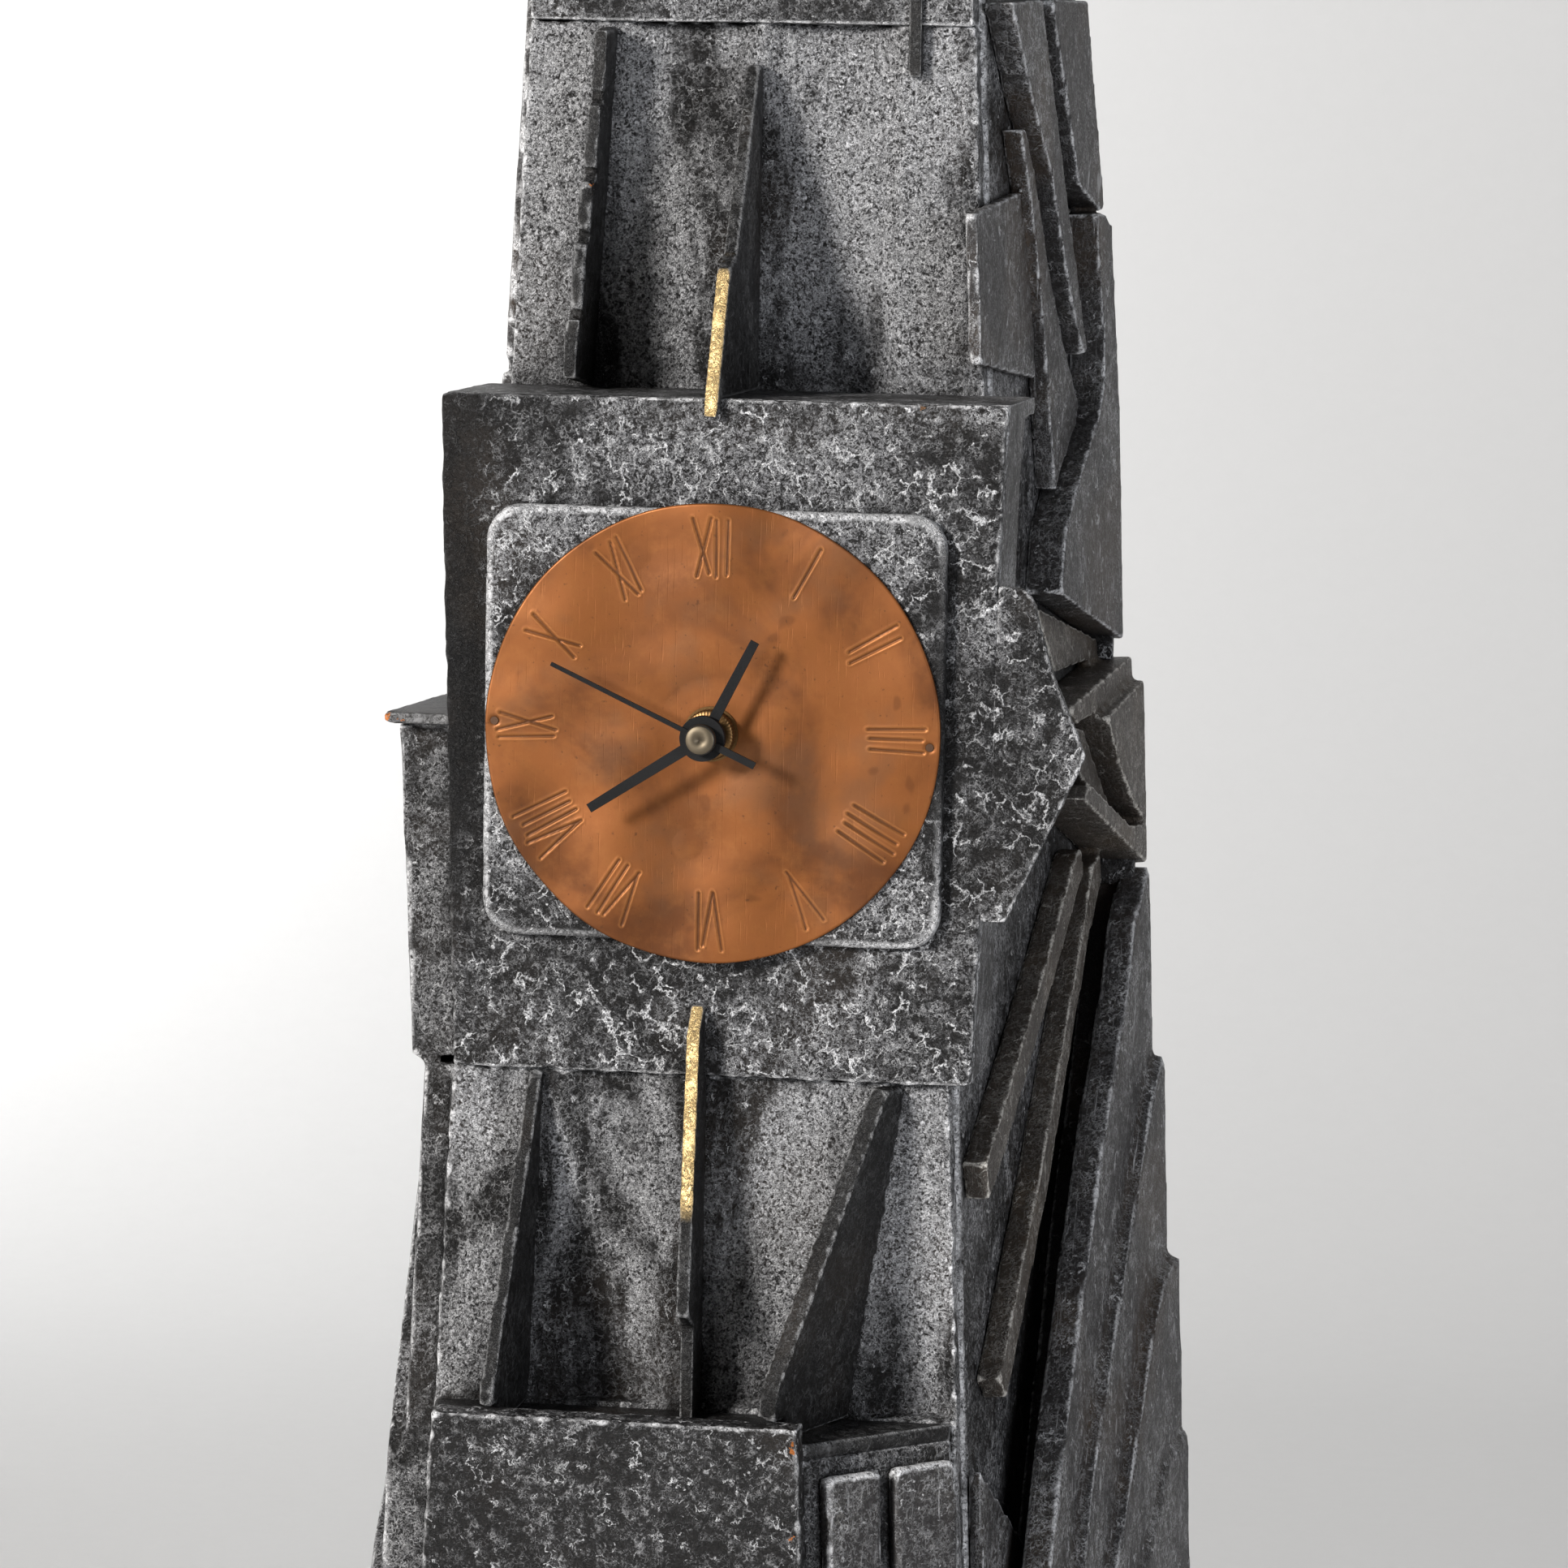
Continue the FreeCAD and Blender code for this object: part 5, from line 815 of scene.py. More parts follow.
def chip_field(points: np.ndarray,
               chips: Sequence[tuple[float, float, float, float]]) -> np.ndarray:
    """How near each point lies to the middle of a chip in the paint.

    Args:
        points: Positions in metres.
        chips: X, Y, Z and radius of each chip in millimetres.

    Returns:
        1 in the middle of a chip and 0 outside it.
    """
    near = np.zeros(len(points))
    for x, y, z, radius in chips:
        away = np.linalg.norm(points / MM - (x, y, z), axis=1) / radius
        near = np.maximum(near, np.clip(1.25 - away, 0, 1))
    return near


@dataclass(frozen=True)
class Dab:
    """A soft-edged place with more silver than elsewhere, or less: on the dial pad it paints
    a highlight on the top and left of the rim and shade on its right and bottom.
    """

    x: float
    z: float
    wide: float
    tall: float
    share: float

    def field(self, points: np.ndarray) -> np.ndarray:
        """The dab's strength at each point, seen from the front.

        Args:
            points: Positions in metres.

        Returns:
            The share in its middle, falling to nothing.
        """
        across = (points[:, 0] / MM - self.x) / self.wide
        up = (points[:, 2] / MM - self.z) / self.tall
        return self.share * np.exp(-(across ** 2 + up ** 2))


@dataclass
class SculptedBoard:
    """One CAD board rebuilt as an evenly divided skin with paint build-up, waves and chips.

    In millimetres: wave, lump and ridges are how far the warp of the board, the paint's lumps and
    its ridges move the skin, each with its feature size below; coat is what a chip takes off.
    """

    node: str
    finish: BoardPaint
    detail: Detail = Detail.BOARD
    lump: float = 0.35
    wave: float = 0.5
    soften: int = 0
    ridges: float = 0.0
    rub: int = 1
    chips: tuple[tuple[float, float, float, float], ...] = ()
    dabs: tuple[Dab, ...] = ()
    wave_size: float = 34
    lump_size: float = 5.5
    ridge_size: float = 7
    coat: float = 0.6

    def start(self) -> tuple[Object, tuple[str, ...]]:
        """The board's plain shape, and the CAD nodes that it stands for."""
        return copy_of(self.node, f"{self.node}_painted"), (self.node,)

    def press(self, piece: Object, kind: str, size: float, strength: float) -> None:
        """Move the skin in and out by a procedural texture.

        Args:
            piece: Object.
            kind: Texture type.
            size: Feature size in millimetres.
            strength: Whole travel in millimetres.
        """
        texture = bpy.data.textures.new(f"{piece.name}_{kind.lower()}_{size:g}", kind)
        texture.noise_scale = size * MM
        push = piece.modifiers.new(kind.title(), "DISPLACE")
        push.texture = texture
        push.strength = strength * MM
        push.mid_level = 0.5

    def build(self) -> None:
        """Sculpt the board, mark its edges and let it ride."""
        piece, stands_for = self.start()
        grid = self.detail.value
        skin = piece.modifiers.new("Skin", "REMESH")
        skin.mode = "VOXEL"
        skin.voxel_size = grid * MM
        skin.use_smooth_shade = True
        if self.soften:
            ease = piece.modifiers.new("Ease", "SMOOTH")
            ease.iterations = self.soften
        for kind, size, strength in (("CLOUDS", self.wave_size, self.wave),
                                     ("CLOUDS", self.lump_size, self.lump),
                                     ("VORONOI", self.ridge_size, self.ridges)):
            if strength:
                self.press(piece, kind, size, strength)
        apply_modifiers(piece)
        EdgeWear(self.rub).mark(piece.data, grid)
        points = vectors(piece.data.vertices, "co")
        near = chip_field(points, self.chips)
        store(piece.data, "chip", near)
        brush_and_light = sum((dab.field(points) for dab in self.dabs), np.zeros(len(points)))
        store(piece.data, "brush_and_light", brush_and_light)
        if self.chips:
            self.sink(piece.data, points, near)
        settle(piece, body_of_node(self.node), self.finish, stands_for)

    def sink(self, mesh: Mesh, points: np.ndarray, near: np.ndarray) -> None:
        """Take the paint's thickness off inside the chips.

        Args:
            mesh: The board's mesh.
            points: Its corner positions in metres.
            near: How near each of them lies to the middle of a chip.
        """
        inside = np.clip(near * 3, 0, 1)[:, None]
        moved = points - vectors(mesh.vertex_normals, "vector") * inside * self.coat * MM
        mesh.vertices.foreach_set("co", moved.astype(np.float32).ravel())
        mesh.update()


@dataclass
class FilledGap(SculptedBoard):
    """Paint and filler that bridge a gap beside a CAD node, between two corners in millimetres."""

    name: str = ""
    low: Point = (0, 0, 0)
    high: Point = (0, 0, 0)

    def start(self) -> tuple[Object, tuple[str, ...]]:
        """Make a block between the two corners.

        Returns:
            The block, and no node that it would stand for.
        """
        xs, ys, zs = zip(self.low, self.high)
        points = [(x * MM, y * MM, z * MM) for x in xs for y in ys for z in zs]
        faces = ((0, 1, 3, 2), (4, 6, 7, 5), (0, 4, 5, 1), (2, 3, 7, 6), (0, 2, 6, 4), (1, 5, 7, 3))
        return mesh_from(self.name, points, faces), ()


@dataclass
class BoardGroup:
    """Boards that are sculpted one after the other."""

    boards: list[SculptedBoard] = field(default_factory=list)

    def build(self) -> None:
        """Sculpt every board."""
        for board in self.boards:
            board.build()


@dataclass
class Carcase(BoardGroup):
    """Plinth, base block, walls, fronts and back of the tower."""

    boards: list[SculptedBoard] = field(default_factory=lambda: [
        SculptedBoard("plinth_board", DARK, Detail.PLAIN),
        SculptedBoard("base_front_board", DARK, Detail.FINE, lump=0.5, ridges=0.7, soften=3,
                      chips=((40.5, -156, 311, 2.4), (40.5, -156, 282, 1.8)),
                      dabs=(Dab(-104, 300, 12, 40, 0.5), Dab(-30, 317, 60, 4, 0.6),
                            Dab(-20, 250, 90, 60, -0.3))),
        SculptedBoard("base_left_cheek", CRACKLED),
        SculptedBoard("base_right_cheek", CRACKLED),
        SculptedBoard("base_lid", FIN_PAINT),
        SculptedBoard("base_right_slabs", SCRATCHED, ridges=0.2),
        SculptedBoard("left_wall", CRACKLED, Detail.PLAIN),
        SculptedBoard("right_wall", CRACKLED, Detail.PLAIN),
        SculptedBoard("back_board", CRACKLED, Detail.PLAIN, lump=0.0, wave=0.0),
        SculptedBoard("upper_front_panel", PALE, Detail.FINE, lump=0.9, ridges=0.9, soften=2,
                      dabs=(Dab(-34, 700, 14, 90, 0.8), Dab(36, 740, 24, 30, 1.2),
                            Dab(50, 690, 16, 70, 0.9), Dab(22, 660, 20, 50, 0.5),
                            Dab(-62, 700, 14, 90, 0.9))),
        SculptedBoard("lower_front_panel", PALE, Detail.FINE, lump=1.0, ridges=0.9, soften=2,
                      dabs=(Dab(32, 370, 18, 46, 1.0), Dab(-60, 390, 14, 60, 0.3),
                            Dab(-20, 380, 16, 40, 0.1), Dab(66, 380, 14, 60, 0.7))),
        SculptedBoard("belfry_front_panel", CRACKLED, Detail.FINE, ridges=0.3),
    ])


@dataclass
class DialBlock(BoardGroup):
    """Block that carries the dial, its plastered pad, its wing and its ledge."""

    boards: list[SculptedBoard] = field(default_factory=lambda: [
        SculptedBoard("dial_block_front", DABBED, Detail.FINE, lump=0.6, ridges=0.8, soften=5,
                      chips=((66, -105, 620.5, 1.5),),
                      dabs=(Dab(8, 602, 34, 14, 1.3), Dab(48, 604, 16, 12, 0.8),
                            Dab(-80, 540, 14, 80, -1.3), Dab(-60, 612, 20, 12, -0.4),
                            Dab(80, 540, 14, 70, -0.4), Dab(40, 436, 50, 12, 0.15),
                            Dab(-40, 440, 30, 14, -0.2))),
        # Dabs on the pad: painted highlight at the rim's top and left, painted shade at its right
        # and bottom
        SculptedBoard("dial_pad", PAD_PAINT, Detail.FINE, wave=0.4, lump=0.3, soften=9,
                      ridges=0.25, rub=7,
                      dabs=(Dab(-58, 586, 30, 12, 1.4), Dab(-66, 540, 6, 50, 0.9),
                            Dab(60, 470, 14, 20, 0.5), Dab(60, 592, 20, 10, 0.5),
                            Dab(74, 530, 8, 60, -0.7), Dab(0, 450, 80, 8, -1.0),
                            Dab(-72, 480, 8, 40, -0.6))),
        SculptedBoard("dial_block_sides", CRACKLED, ridges=0.2),
        SculptedBoard("wing_board", DABBED, Detail.FINE, lump=0.5, ridges=0.7,
                      dabs=(Dab(102, 520, 20, 60, -0.4), Dab(112, 510, 8, 12, 0.3))),
        FilledGap("wing_board", JOINT_PAINT, Detail.FINE, lump=0.55, ridges=0.75,
                  dabs=(Dab(88, 520, 20, 60, -0.4),), name="wing_joint_fill",
                  low=(83.5, -105.15, 466.5), high=(90.0, -102.0, 565.0)),
        SculptedBoard("ledge_board", FIN_PAINT, Detail.FINE,
                      chips=((-101, -99, 520, 3), (-95, -101, 519, 2))),
    ])


@dataclass
class Fins(BoardGroup):
    """Upright boards that stand out from the two fronts."""

    boards: list[SculptedBoard] = field(default_factory=lambda: [
        SculptedBoard("upper_gold_fin", UPPER_LEAF, Detail.FINE, lump=0.25, wave=0.3),
        SculptedBoard("upper_stepped_fin", FIN_PAINT, Detail.FINE, lump=0.4, wave=0.4,
                      chips=((-43, -60, 684, 2.8),)),
        SculptedBoard("upper_stick_fin", FIN_PAINT, Detail.FINE, lump=0.25),
        SculptedBoard("lower_left_fin", FIN_PAINT, Detail.FINE, lump=0.4),
        SculptedBoard("lower_right_fin", FIN_PAINT, Detail.FINE, lump=0.4),
        SculptedBoard("lower_gold_fin", LOWER_LEAF, Detail.FINE, lump=0.25, wave=0.3),
    ])


@dataclass
class FlankCladding(BoardGroup):
    """Shards and long sheets on both flanks."""

    boards: list[SculptedBoard] = field(default_factory=lambda: [
        SculptedBoard("right_upper_shards", SCRATCHED, Detail.FINE, lump=0.2),
        SculptedBoard("right_cluster_boards", TANNED, Detail.FINE, lump=0.2),
        SculptedBoard("right_long_sheets", SCRATCHED, lump=0.25, wave=0.6),
        FilledGap("right_upper_shards", JOINT_PAINT, Detail.FINE, lump=0.2,
                  name="shard_gap_fill", low=(84, 100.5, 522), high=(102.5, 106.5, 543)),
        FilledGap("right_cluster_boards", JOINT_PAINT, Detail.FINE, lump=0.2,
                  name="cluster_gap_fill", low=(86, 100.5, 452), high=(111.5, 106.5, 464)),
        SculptedBoard("left_upper_shards", SCRATCHED, lump=0.3),
        SculptedBoard("left_sheets", CRACKLED, lump=0.3),
    ])


@dataclass
class Steeple(BoardGroup):
    """Crown deck, tapering core, fins and shards."""

    boards: list[SculptedBoard] = field(default_factory=lambda: [
        SculptedBoard("crown_deck", CRACKLED, Detail.PLAIN),
        SculptedBoard("spire_core", PALE, Detail.PLAIN, ridges=0.5),
        SculptedBoard("spire_fins", FIN_PAINT),
        SculptedBoard("spire_shards", SCRATCHED),
    ])


@dataclass
class CopperDial:
    """Disc of copper sheet with chisel-punched hour numerals.

    In millimetres, apart from counts and shares: bow, rim_waves (count round the dial, phase,
    rise) and dents are how the sheet left its plane; flat and flat_fade keep it plane at the nut.
    """

    centre: tuple[float, float] = (4, 520)
    back: float = -111
    thick: float = 1.2
    radius: float = 70
    bore: float = 4.15
    pin_radius: float = 67
    ring_step: float = 0.42
    spokes: int = 900
    inner: float = 48.5
    outer: float = 65.5
    cut_depth: float = 0.45
    cut_half: float = 0.42
    unsteady: tuple[float, float] = (0.8, 0.35)
    lip_rise: float = 0.08
    lip_width: float = 0.34
    bow: float = 0.392
    rim_waves: tuple[tuple[float, float, float], ...] = ((7, 0.4, 0.14), (12, 2, 0.1))
    dents: int = 10
    dent_sizes: tuple[float, float] = (18, 60)
    dent_share: float = 0.0045
    flat: float = 9
    flat_fade: float = 8
    deepest: float = 0.9
    rim_drop: float = 0.25
    pin_hole: float = 1.1
    pin_drop: float = 1.87

    NUMERALS = ("XII", "I", "II", "III", "IIII", "V", "VI", "VII", "VIII", "IX", "X", "XI")
    WIDTHS = {"I": 3.5, "V": 6.2, "X": 5.6}

    def strokes(self) -> list[tuple[Vector, Vector]]:
        """Lay out the chisel marks of the twelve numerals.

        Returns:
            Start and end of every mark, in millimetres from the dial's centre.
        """
        hand = random.Random(7)
        long_slip, cross_slip = self.unsteady
        shapes = {"I": ((0, 0, 0, 1),), "V": ((0, 0, -0.5, 1), (0, 0, 0.5, 1)),
                  "X": ((-0.5, 1, 0.42, 0), (0.5, 1, -0.42, 0))}
        marks = []
        for hour, word in enumerate(self.NUMERALS):
            turn = math.tau * hour / 12
            out = Vector((math.sin(turn), math.cos(turn)))
            side = Vector((math.cos(turn), -math.sin(turn)))
            total = sum(self.WIDTHS[letter] for letter in word)
            at = -total / 2
            for letter in word:
                width = self.WIDTHS[letter]
                for a0, t0, a1, t1 in shapes[letter]:
                    ends = []
                    for across, along in ((a0, t0), (a1, t1)):
                        reach = self.inner + (self.outer - self.inner) * along
                        reach += hand.uniform(-long_slip, long_slip)
                        wide = at + width / 2 + across * width
                        wide += hand.uniform(-cross_slip, cross_slip)
                        fan = 0.86 + 0.14 * along
                        ends.append(out * reach + side * wide * fan)
                    marks.append((ends[0], ends[1]))
                at += width
        return marks

    def height(self, x: np.ndarray, z: np.ndarray) -> tuple[np.ndarray, np.ndarray, np.ndarray]:
        """Rise of the sheet's face over its flat place, and how deep and raised each point is.

        Args:
            x: Distance to the right of the centre in millimetres.
            z: Distance above the centre in millimetres.

        Returns:
            Rise in millimetres, share of a cut, share of a lip; the finish paints shade
            in the cuts and a highlight on the lips.
        """
        reach = np.hypot(x, z)
        turn = np.arctan2(z, x)
        rim = (reach / self.radius) ** 3
        rise = self.bow * rim * (0.3 + np.sin(turn * 2 + 0.6))
        hand = random.Random(11)
        for _ in range(self.dents):
            way, size = hand.uniform(0, math.tau), hand.uniform(*self.dent_sizes)
            along = (x * math.cos(way) + z * math.sin(way)) / size + hand.random()
            rise += self.dent_share * size * np.sin(math.tau * along)
        for count, phase, tall in self.rim_waves:
            rise += tall * rim * np.sin(turn * count + phase)
        nearest = np.full(x.shape, 99.0)
        for start, end in self.strokes():
            run = end - start
            share = ((x - start.x) * run.x + (z - start.y) * run.y) / run.length_squared
            share = np.clip(share, 0, 1)
            away = np.hypot(x - start.x - run.x * share, z - start.y - run.y * share)
            nearest = np.minimum(nearest, away)
        cut = np.clip(1.3 - nearest / self.cut_half, 0, 1)
        lip_and_highlight = np.exp(-((nearest - self.cut_half * 1.9) / self.lip_width) ** 2)
        for side in (-1, 1):
            hole = np.hypot(x - side * self.pin_radius, z + side * self.pin_drop)
            cut = np.maximum(cut, np.clip(1.8 - hole / self.pin_hole, 0, 1))
        return rise - cut * self.cut_depth + lip_and_highlight * self.lip_rise, cut, lip_and_highlight

    def build(self) -> None:
        """Make the disc as rings of points with a rim and a flat back."""
        rings = np.arange(self.bore, self.radius, self.ring_step)
        rings = np.append(rings, self.radius)
        turns = np.linspace(0, math.tau, self.spokes, endpoint=False)
        reach, turn = np.meshgrid(rings, turns, indexing="ij")
        share = reach / self.radius
        wobble = 0.0022 * np.sin(turn * 3 + 1) + 0.0012 * np.sin(turn * 11) * share ** 6
        cut_by_hand = reach * (1 + wobble * share ** 4)
        x, z = cut_by_hand * np.cos(turn), cut_by_hand * np.sin(turn)
        rise, cut, lip_and_highlight = self.height(x, z)
        near_centre = np.clip((reach - self.flat) / self.flat_fade, 0, 1)
        rise = np.maximum(rise * near_centre, -self.deepest)
        front = self.back - self.thick - rise
        front[-1] += self.rim_drop
        rear = np.full_like(x, self.back)
        layers = [(x, front, z), (x[[-1]], rear[[-1]], z[[-1]]), (x[[0]], rear[[0]], z[[0]])]
        points = np.concatenate([np.stack([a.ravel() + self.centre[0], b.ravel(),
                                           c.ravel() + self.centre[1]], 1) for a, b, c in layers])
        piece = mesh_from("punched_copper_dial", points * MM, quads(len(rings) + 2, self.spokes))
        extra = np.zeros(2 * self.spokes)
        # The cut share carries painted shade into the finish, the lip share a painted highlight
        store(piece.data, "cut", np.concatenate([cut.ravel(), extra]))
        store(piece.data, "lip_and_highlight", np.concatenate([lip_and_highlight.ravel(), extra]))
        with edited(piece.data) as work:
            bmesh.ops.recalc_face_normals(work, faces=work.faces)
        settle(piece, body_of_node("copper_dial"), COPPER, ("copper_dial",))
        # The pins' colour is painted shade: as dark as the holes that they stand in
        finish_node("dial_pins", BRONZE)


@dataclass
class BevelledNode:
    """A CAD node with its sharp edges broken, as stamping, turning or moulding leaves them."""

    node: str
    finish: Finish
    width: float = 0.2
    steps: int = 2
    flat_angle: float = 1
    sharp_angle: float = 40

    def build(self) -> None:
        """Copy the node, break its edges and let it ride."""
        piece = copy_of(self.node, f"{self.node}_finished")
        merge = piece.modifiers.new("Flats", "DECIMATE")
        merge.decimate_type = "DISSOLVE"
        merge.angle_limit = math.radians(self.flat_angle)
        soft = piece.modifiers.new("Edges", "BEVEL")
        soft.width = self.width * MM
        soft.segments = self.steps
        soft.limit_method = "ANGLE"
        soft.angle_limit = math.radians(self.sharp_angle)
        soft.use_clamp_overlap = True
        apply_modifiers(piece)
        settle(piece, body_of_node(self.node), self.finish, (self.node,))


def lathe(name: str, axis: tuple[float, float], profile: Sequence[tuple[float, float]],
          steps: int = 96, flute: Callable[[float, int], float] = lambda turn, corner: 0) -> Object:
    """Ring turned about an axis that runs front to back.

    Args:
        name: Object's name.
        axis: X and Z of the axis in millimetres.
        profile: Closed outline as radius and Y in millimetres.
        steps: Facets round the axis.
        flute: Radius change for an angle and a profile corner, in millimetres.

    Returns:
        The object.
    """
    points = []
    for i in range(steps):
        turn = math.tau * i / steps
        for k, (radius, y) in enumerate(profile):
            reach = radius + flute(turn, k)
            x, z = axis[0] + reach * math.cos(turn), axis[1] + reach * math.sin(turn)
            points.append(Vector((x, y, z)) * MM)
    piece = mesh_from(name, points, quads(steps, len(profile)))
    with edited(piece.data) as work:
        bmesh.ops.recalc_face_normals(work, faces=work.faces)
    return piece


@dataclass
class HandsAndNut:
    """Three matt black hands, the brass nut that fixes the movement, and the cap in the middle."""

    centre: tuple[float, float] = (4, 520)
    nut_radius: float = 7.7
    nut_bore: float = 3.9
    nut_back: float = -113.0
    nut_thick: float = 4
    knurls: int = 44
    knurl: float = 0.22
    cap_radius: float = 4.6
    cap_front: float = -132.0
    cap_proud: float = 0.25

    def build_nut(self) -> None:
        """Round nut with a knurled rim, chamfers and a groove."""
        front, back = self.nut_back - self.nut_thick, self.nut_back
        out, bore = self.nut_radius, self.nut_bore
        groove = out - 0.45
        profile = ((bore, back), (out - 0.5, back), (out, back - 0.5), (out, back - 1.6),
                   (groove, back - 1.8), (groove, back - 2.2), (out, back - 2.4),
                   (out, front + 0.5), (out - 0.6, front), (bore + 0.5, front), (bore, front + 0.4))
        ribbed = [k for k, corner in enumerate(profile) if corner[0] == out]

        def flute(turn: float, corner: int) -> float:
            """Depth of the knurls, which only the rim's corners have."""
            depth = self.knurl * (0.5 + 0.5 * math.cos(turn * self.knurls))
            return -depth if corner in ribbed else 0

        nut = lathe("knurled_fixing_nut", self.centre, profile, self.knurls * 6, flute)
        settle(nut, body_of_node("fixing_nut"), BRASS, ("fixing_nut",))
        finish_node("fixing_washer", BRASS)

    def build_cap(self) -> None:
        """Turned cap over the second hand's hub, with a chamfer."""
        front, radius = self.cap_front, self.cap_radius + 0.05
        profile = ((0.02, front - self.cap_proud), (radius - 0.6, front - self.cap_proud),
                   (radius, front + 0.3), (radius, front + 2.6), (radius - 0.6, front + 3.2),
                   (0.02, front + 3.2))
        cap = lathe("second_hand_cap", self.centre, profile)
        settle(cap, "second_hand", CAP_BRASS)

    def build(self) -> None:
        """Hands with broken edges, then nut and cap."""
        for node in ("hour_hand", "minute_hand", "second_hand"):
            BevelledNode(node, HAND_BLACK, 0.12).build()
        self.build_nut()
        self.build_cap()


@dataclass
class Movement:
    """Battery movement behind the dial block: case, motor, cell and contacts."""

    centre: tuple[float, float] = (4, 520)
    back: float = -82
    half: float = 28
    rib: float = 0.5
    rib_slope: float = 0.25
    frame_low: float = -8
    coil_centre: Point = (6, -87.4, 542.6)
    coil_length: float = 20
    coil_radius: float = 3.3
    coil_turns: int = 44
    wire: float = 0.22
    wire_facets: int = 14
    cell_centre: Point = (4, -91, 500.7)
    cell_radius: float = 7.1
    cell_length: float = 47

    def coil_wire(self) -> None:
        """Winding of enamelled wire, drawn as coarse as it needs to be to show."""
        curve = bpy.data.curves.new("coil_wire_path", "CURVE")
        curve.dimensions = "3D"
        curve.bevel_depth = self.wire * MM
        curve.bevel_resolution = 1
        line = curve.splines.new("POLY")
        per_turn = self.wire_facets
        total = self.coil_turns * per_turn
        line.points.add(total)
        x0, y0, z0 = self.coil_centre
        for i in range(total + 1):
            turn = math.tau * i / per_turn
            x = x0 + self.coil_length * (i / total - 0.5)
            line.points[i].co = (x * MM, (y0 + self.coil_radius * math.cos(turn)) * MM,
                                 (z0 + self.coil_radius * math.sin(turn)) * MM, 1)
        source = bpy.data.objects.new("coil_wire_source", curve)
        mesh = bpy.data.meshes.new_from_object(source)
        bpy.data.objects.remove(source)
        wire = new_object("coil_wire", mesh)
        mesh.polygons.foreach_set("use_smooth", [True] * len(mesh.polygons))
        settle(wire, body_of_node("coil"), WINDING)
        finish_node("coil", WINDING)

    def back_ribs(self) -> None:
        """Moulded frame and grip bars on the case's back."""
        points, faces = [], []

        def bar(x0: float, z0: float, x1: float, z1: float) -> None:
            """Add a raised bar with sloping sides.

            Args:
                x0: Left side, in millimetres from the movement's middle.
                z0: Lower side.
                x1: Right side.
                z1: Upper side.
            """
            base = len(points)
            for inset, y in ((0, self.back - 0.05), (self.rib_slope, self.back + self.rib)):
                points.extend(Vector((self.centre[0] + x, y, self.centre[1] + z)) * MM for x, z in (
                    (x0 + inset, z0 + inset), (x1 - inset, z0 + inset), (x1 - inset, z1 - inset),
                    (x0 + inset, z1 - inset)))
            for face in ((4, 5, 6, 7), *quads(2, 4, ring=False)):
                faces.append([base + i for i in face])

        edge, wide, low = self.half - 2, 1.4, self.frame_low
        bar(-edge, edge - wide, edge, edge)
        bar(-edge, low, -edge + wide, edge - wide)
        bar(edge - wide, low, edge, edge - wide)
        bar(-edge, low - wide, edge, low)
        for i in range(7):
            x = -edge + 6 + i * 2.4
            bar(x, 6, x + 1.1, 18)
        ribs = mesh_from("case_back_ribs", points, faces, smooth=False)
        settle(ribs, body_of_node("movement_rear_case"), CASE_ABS)

    def cell_bands(self) -> None:
        """Shrink film with the rolls at the cell's ends."""
        x0, y0, z0 = self.cell_centre
        points = []
        steps = 48
        roll = ((-0.5, -0.3), (-0.5, 0.12), (-0.485, 0.2), (-0.47, 0.12), (-0.47, 0.03))
        profile = roll + tuple((-along, proud) for along, proud in reversed(roll))
        for i in range(steps):
            turn = math.tau * i / steps
            for along, proud in profile:
                reach = self.cell_radius + proud
                points.append(Vector((x0 + along * self.cell_length, y0 + reach * math.cos(turn),
                                      z0 + reach * math.sin(turn))) * MM)
        film = mesh_from("cell_film_rolls", points, quads(steps, len(profile), closed=False))
        settle(film, body_of_node("battery"), CELL_FILM)

    def build(self) -> None:
        """Case halves, motor, board, cell and contacts."""
        BevelledNode("movement_front_case", CASE_ABS, 0.25).build()
        BevelledNode("movement_rear_case", CASE_ABS, 0.3).build()
        BevelledNode("setting_knob", ACETAL, 0.15).build()
        self.back_ribs()
        self.coil_wire()
        self.cell_bands()
        for node, finish in (("stator", STEEL), ("circuit_board", LAMINATE), ("battery", CELL_FILM),
                             ("battery_contacts", STEEL)):
            finish_node(node, finish)


@dataclass
class WheelTrain:
    """Moulded wheels of the movement, which keep their CAD teeth."""

    wheels: tuple[str, ...] = ("rotor", "intermediate_wheel", "seconds_wheel", "third_wheel",
                               "minute_wheel", "motion_wheel", "hour_wheel")

    def build(self) -> None:
        """Give every wheel its plastic."""
        for wheel in self.wheels:
            finish_node(wheel, ACETAL)


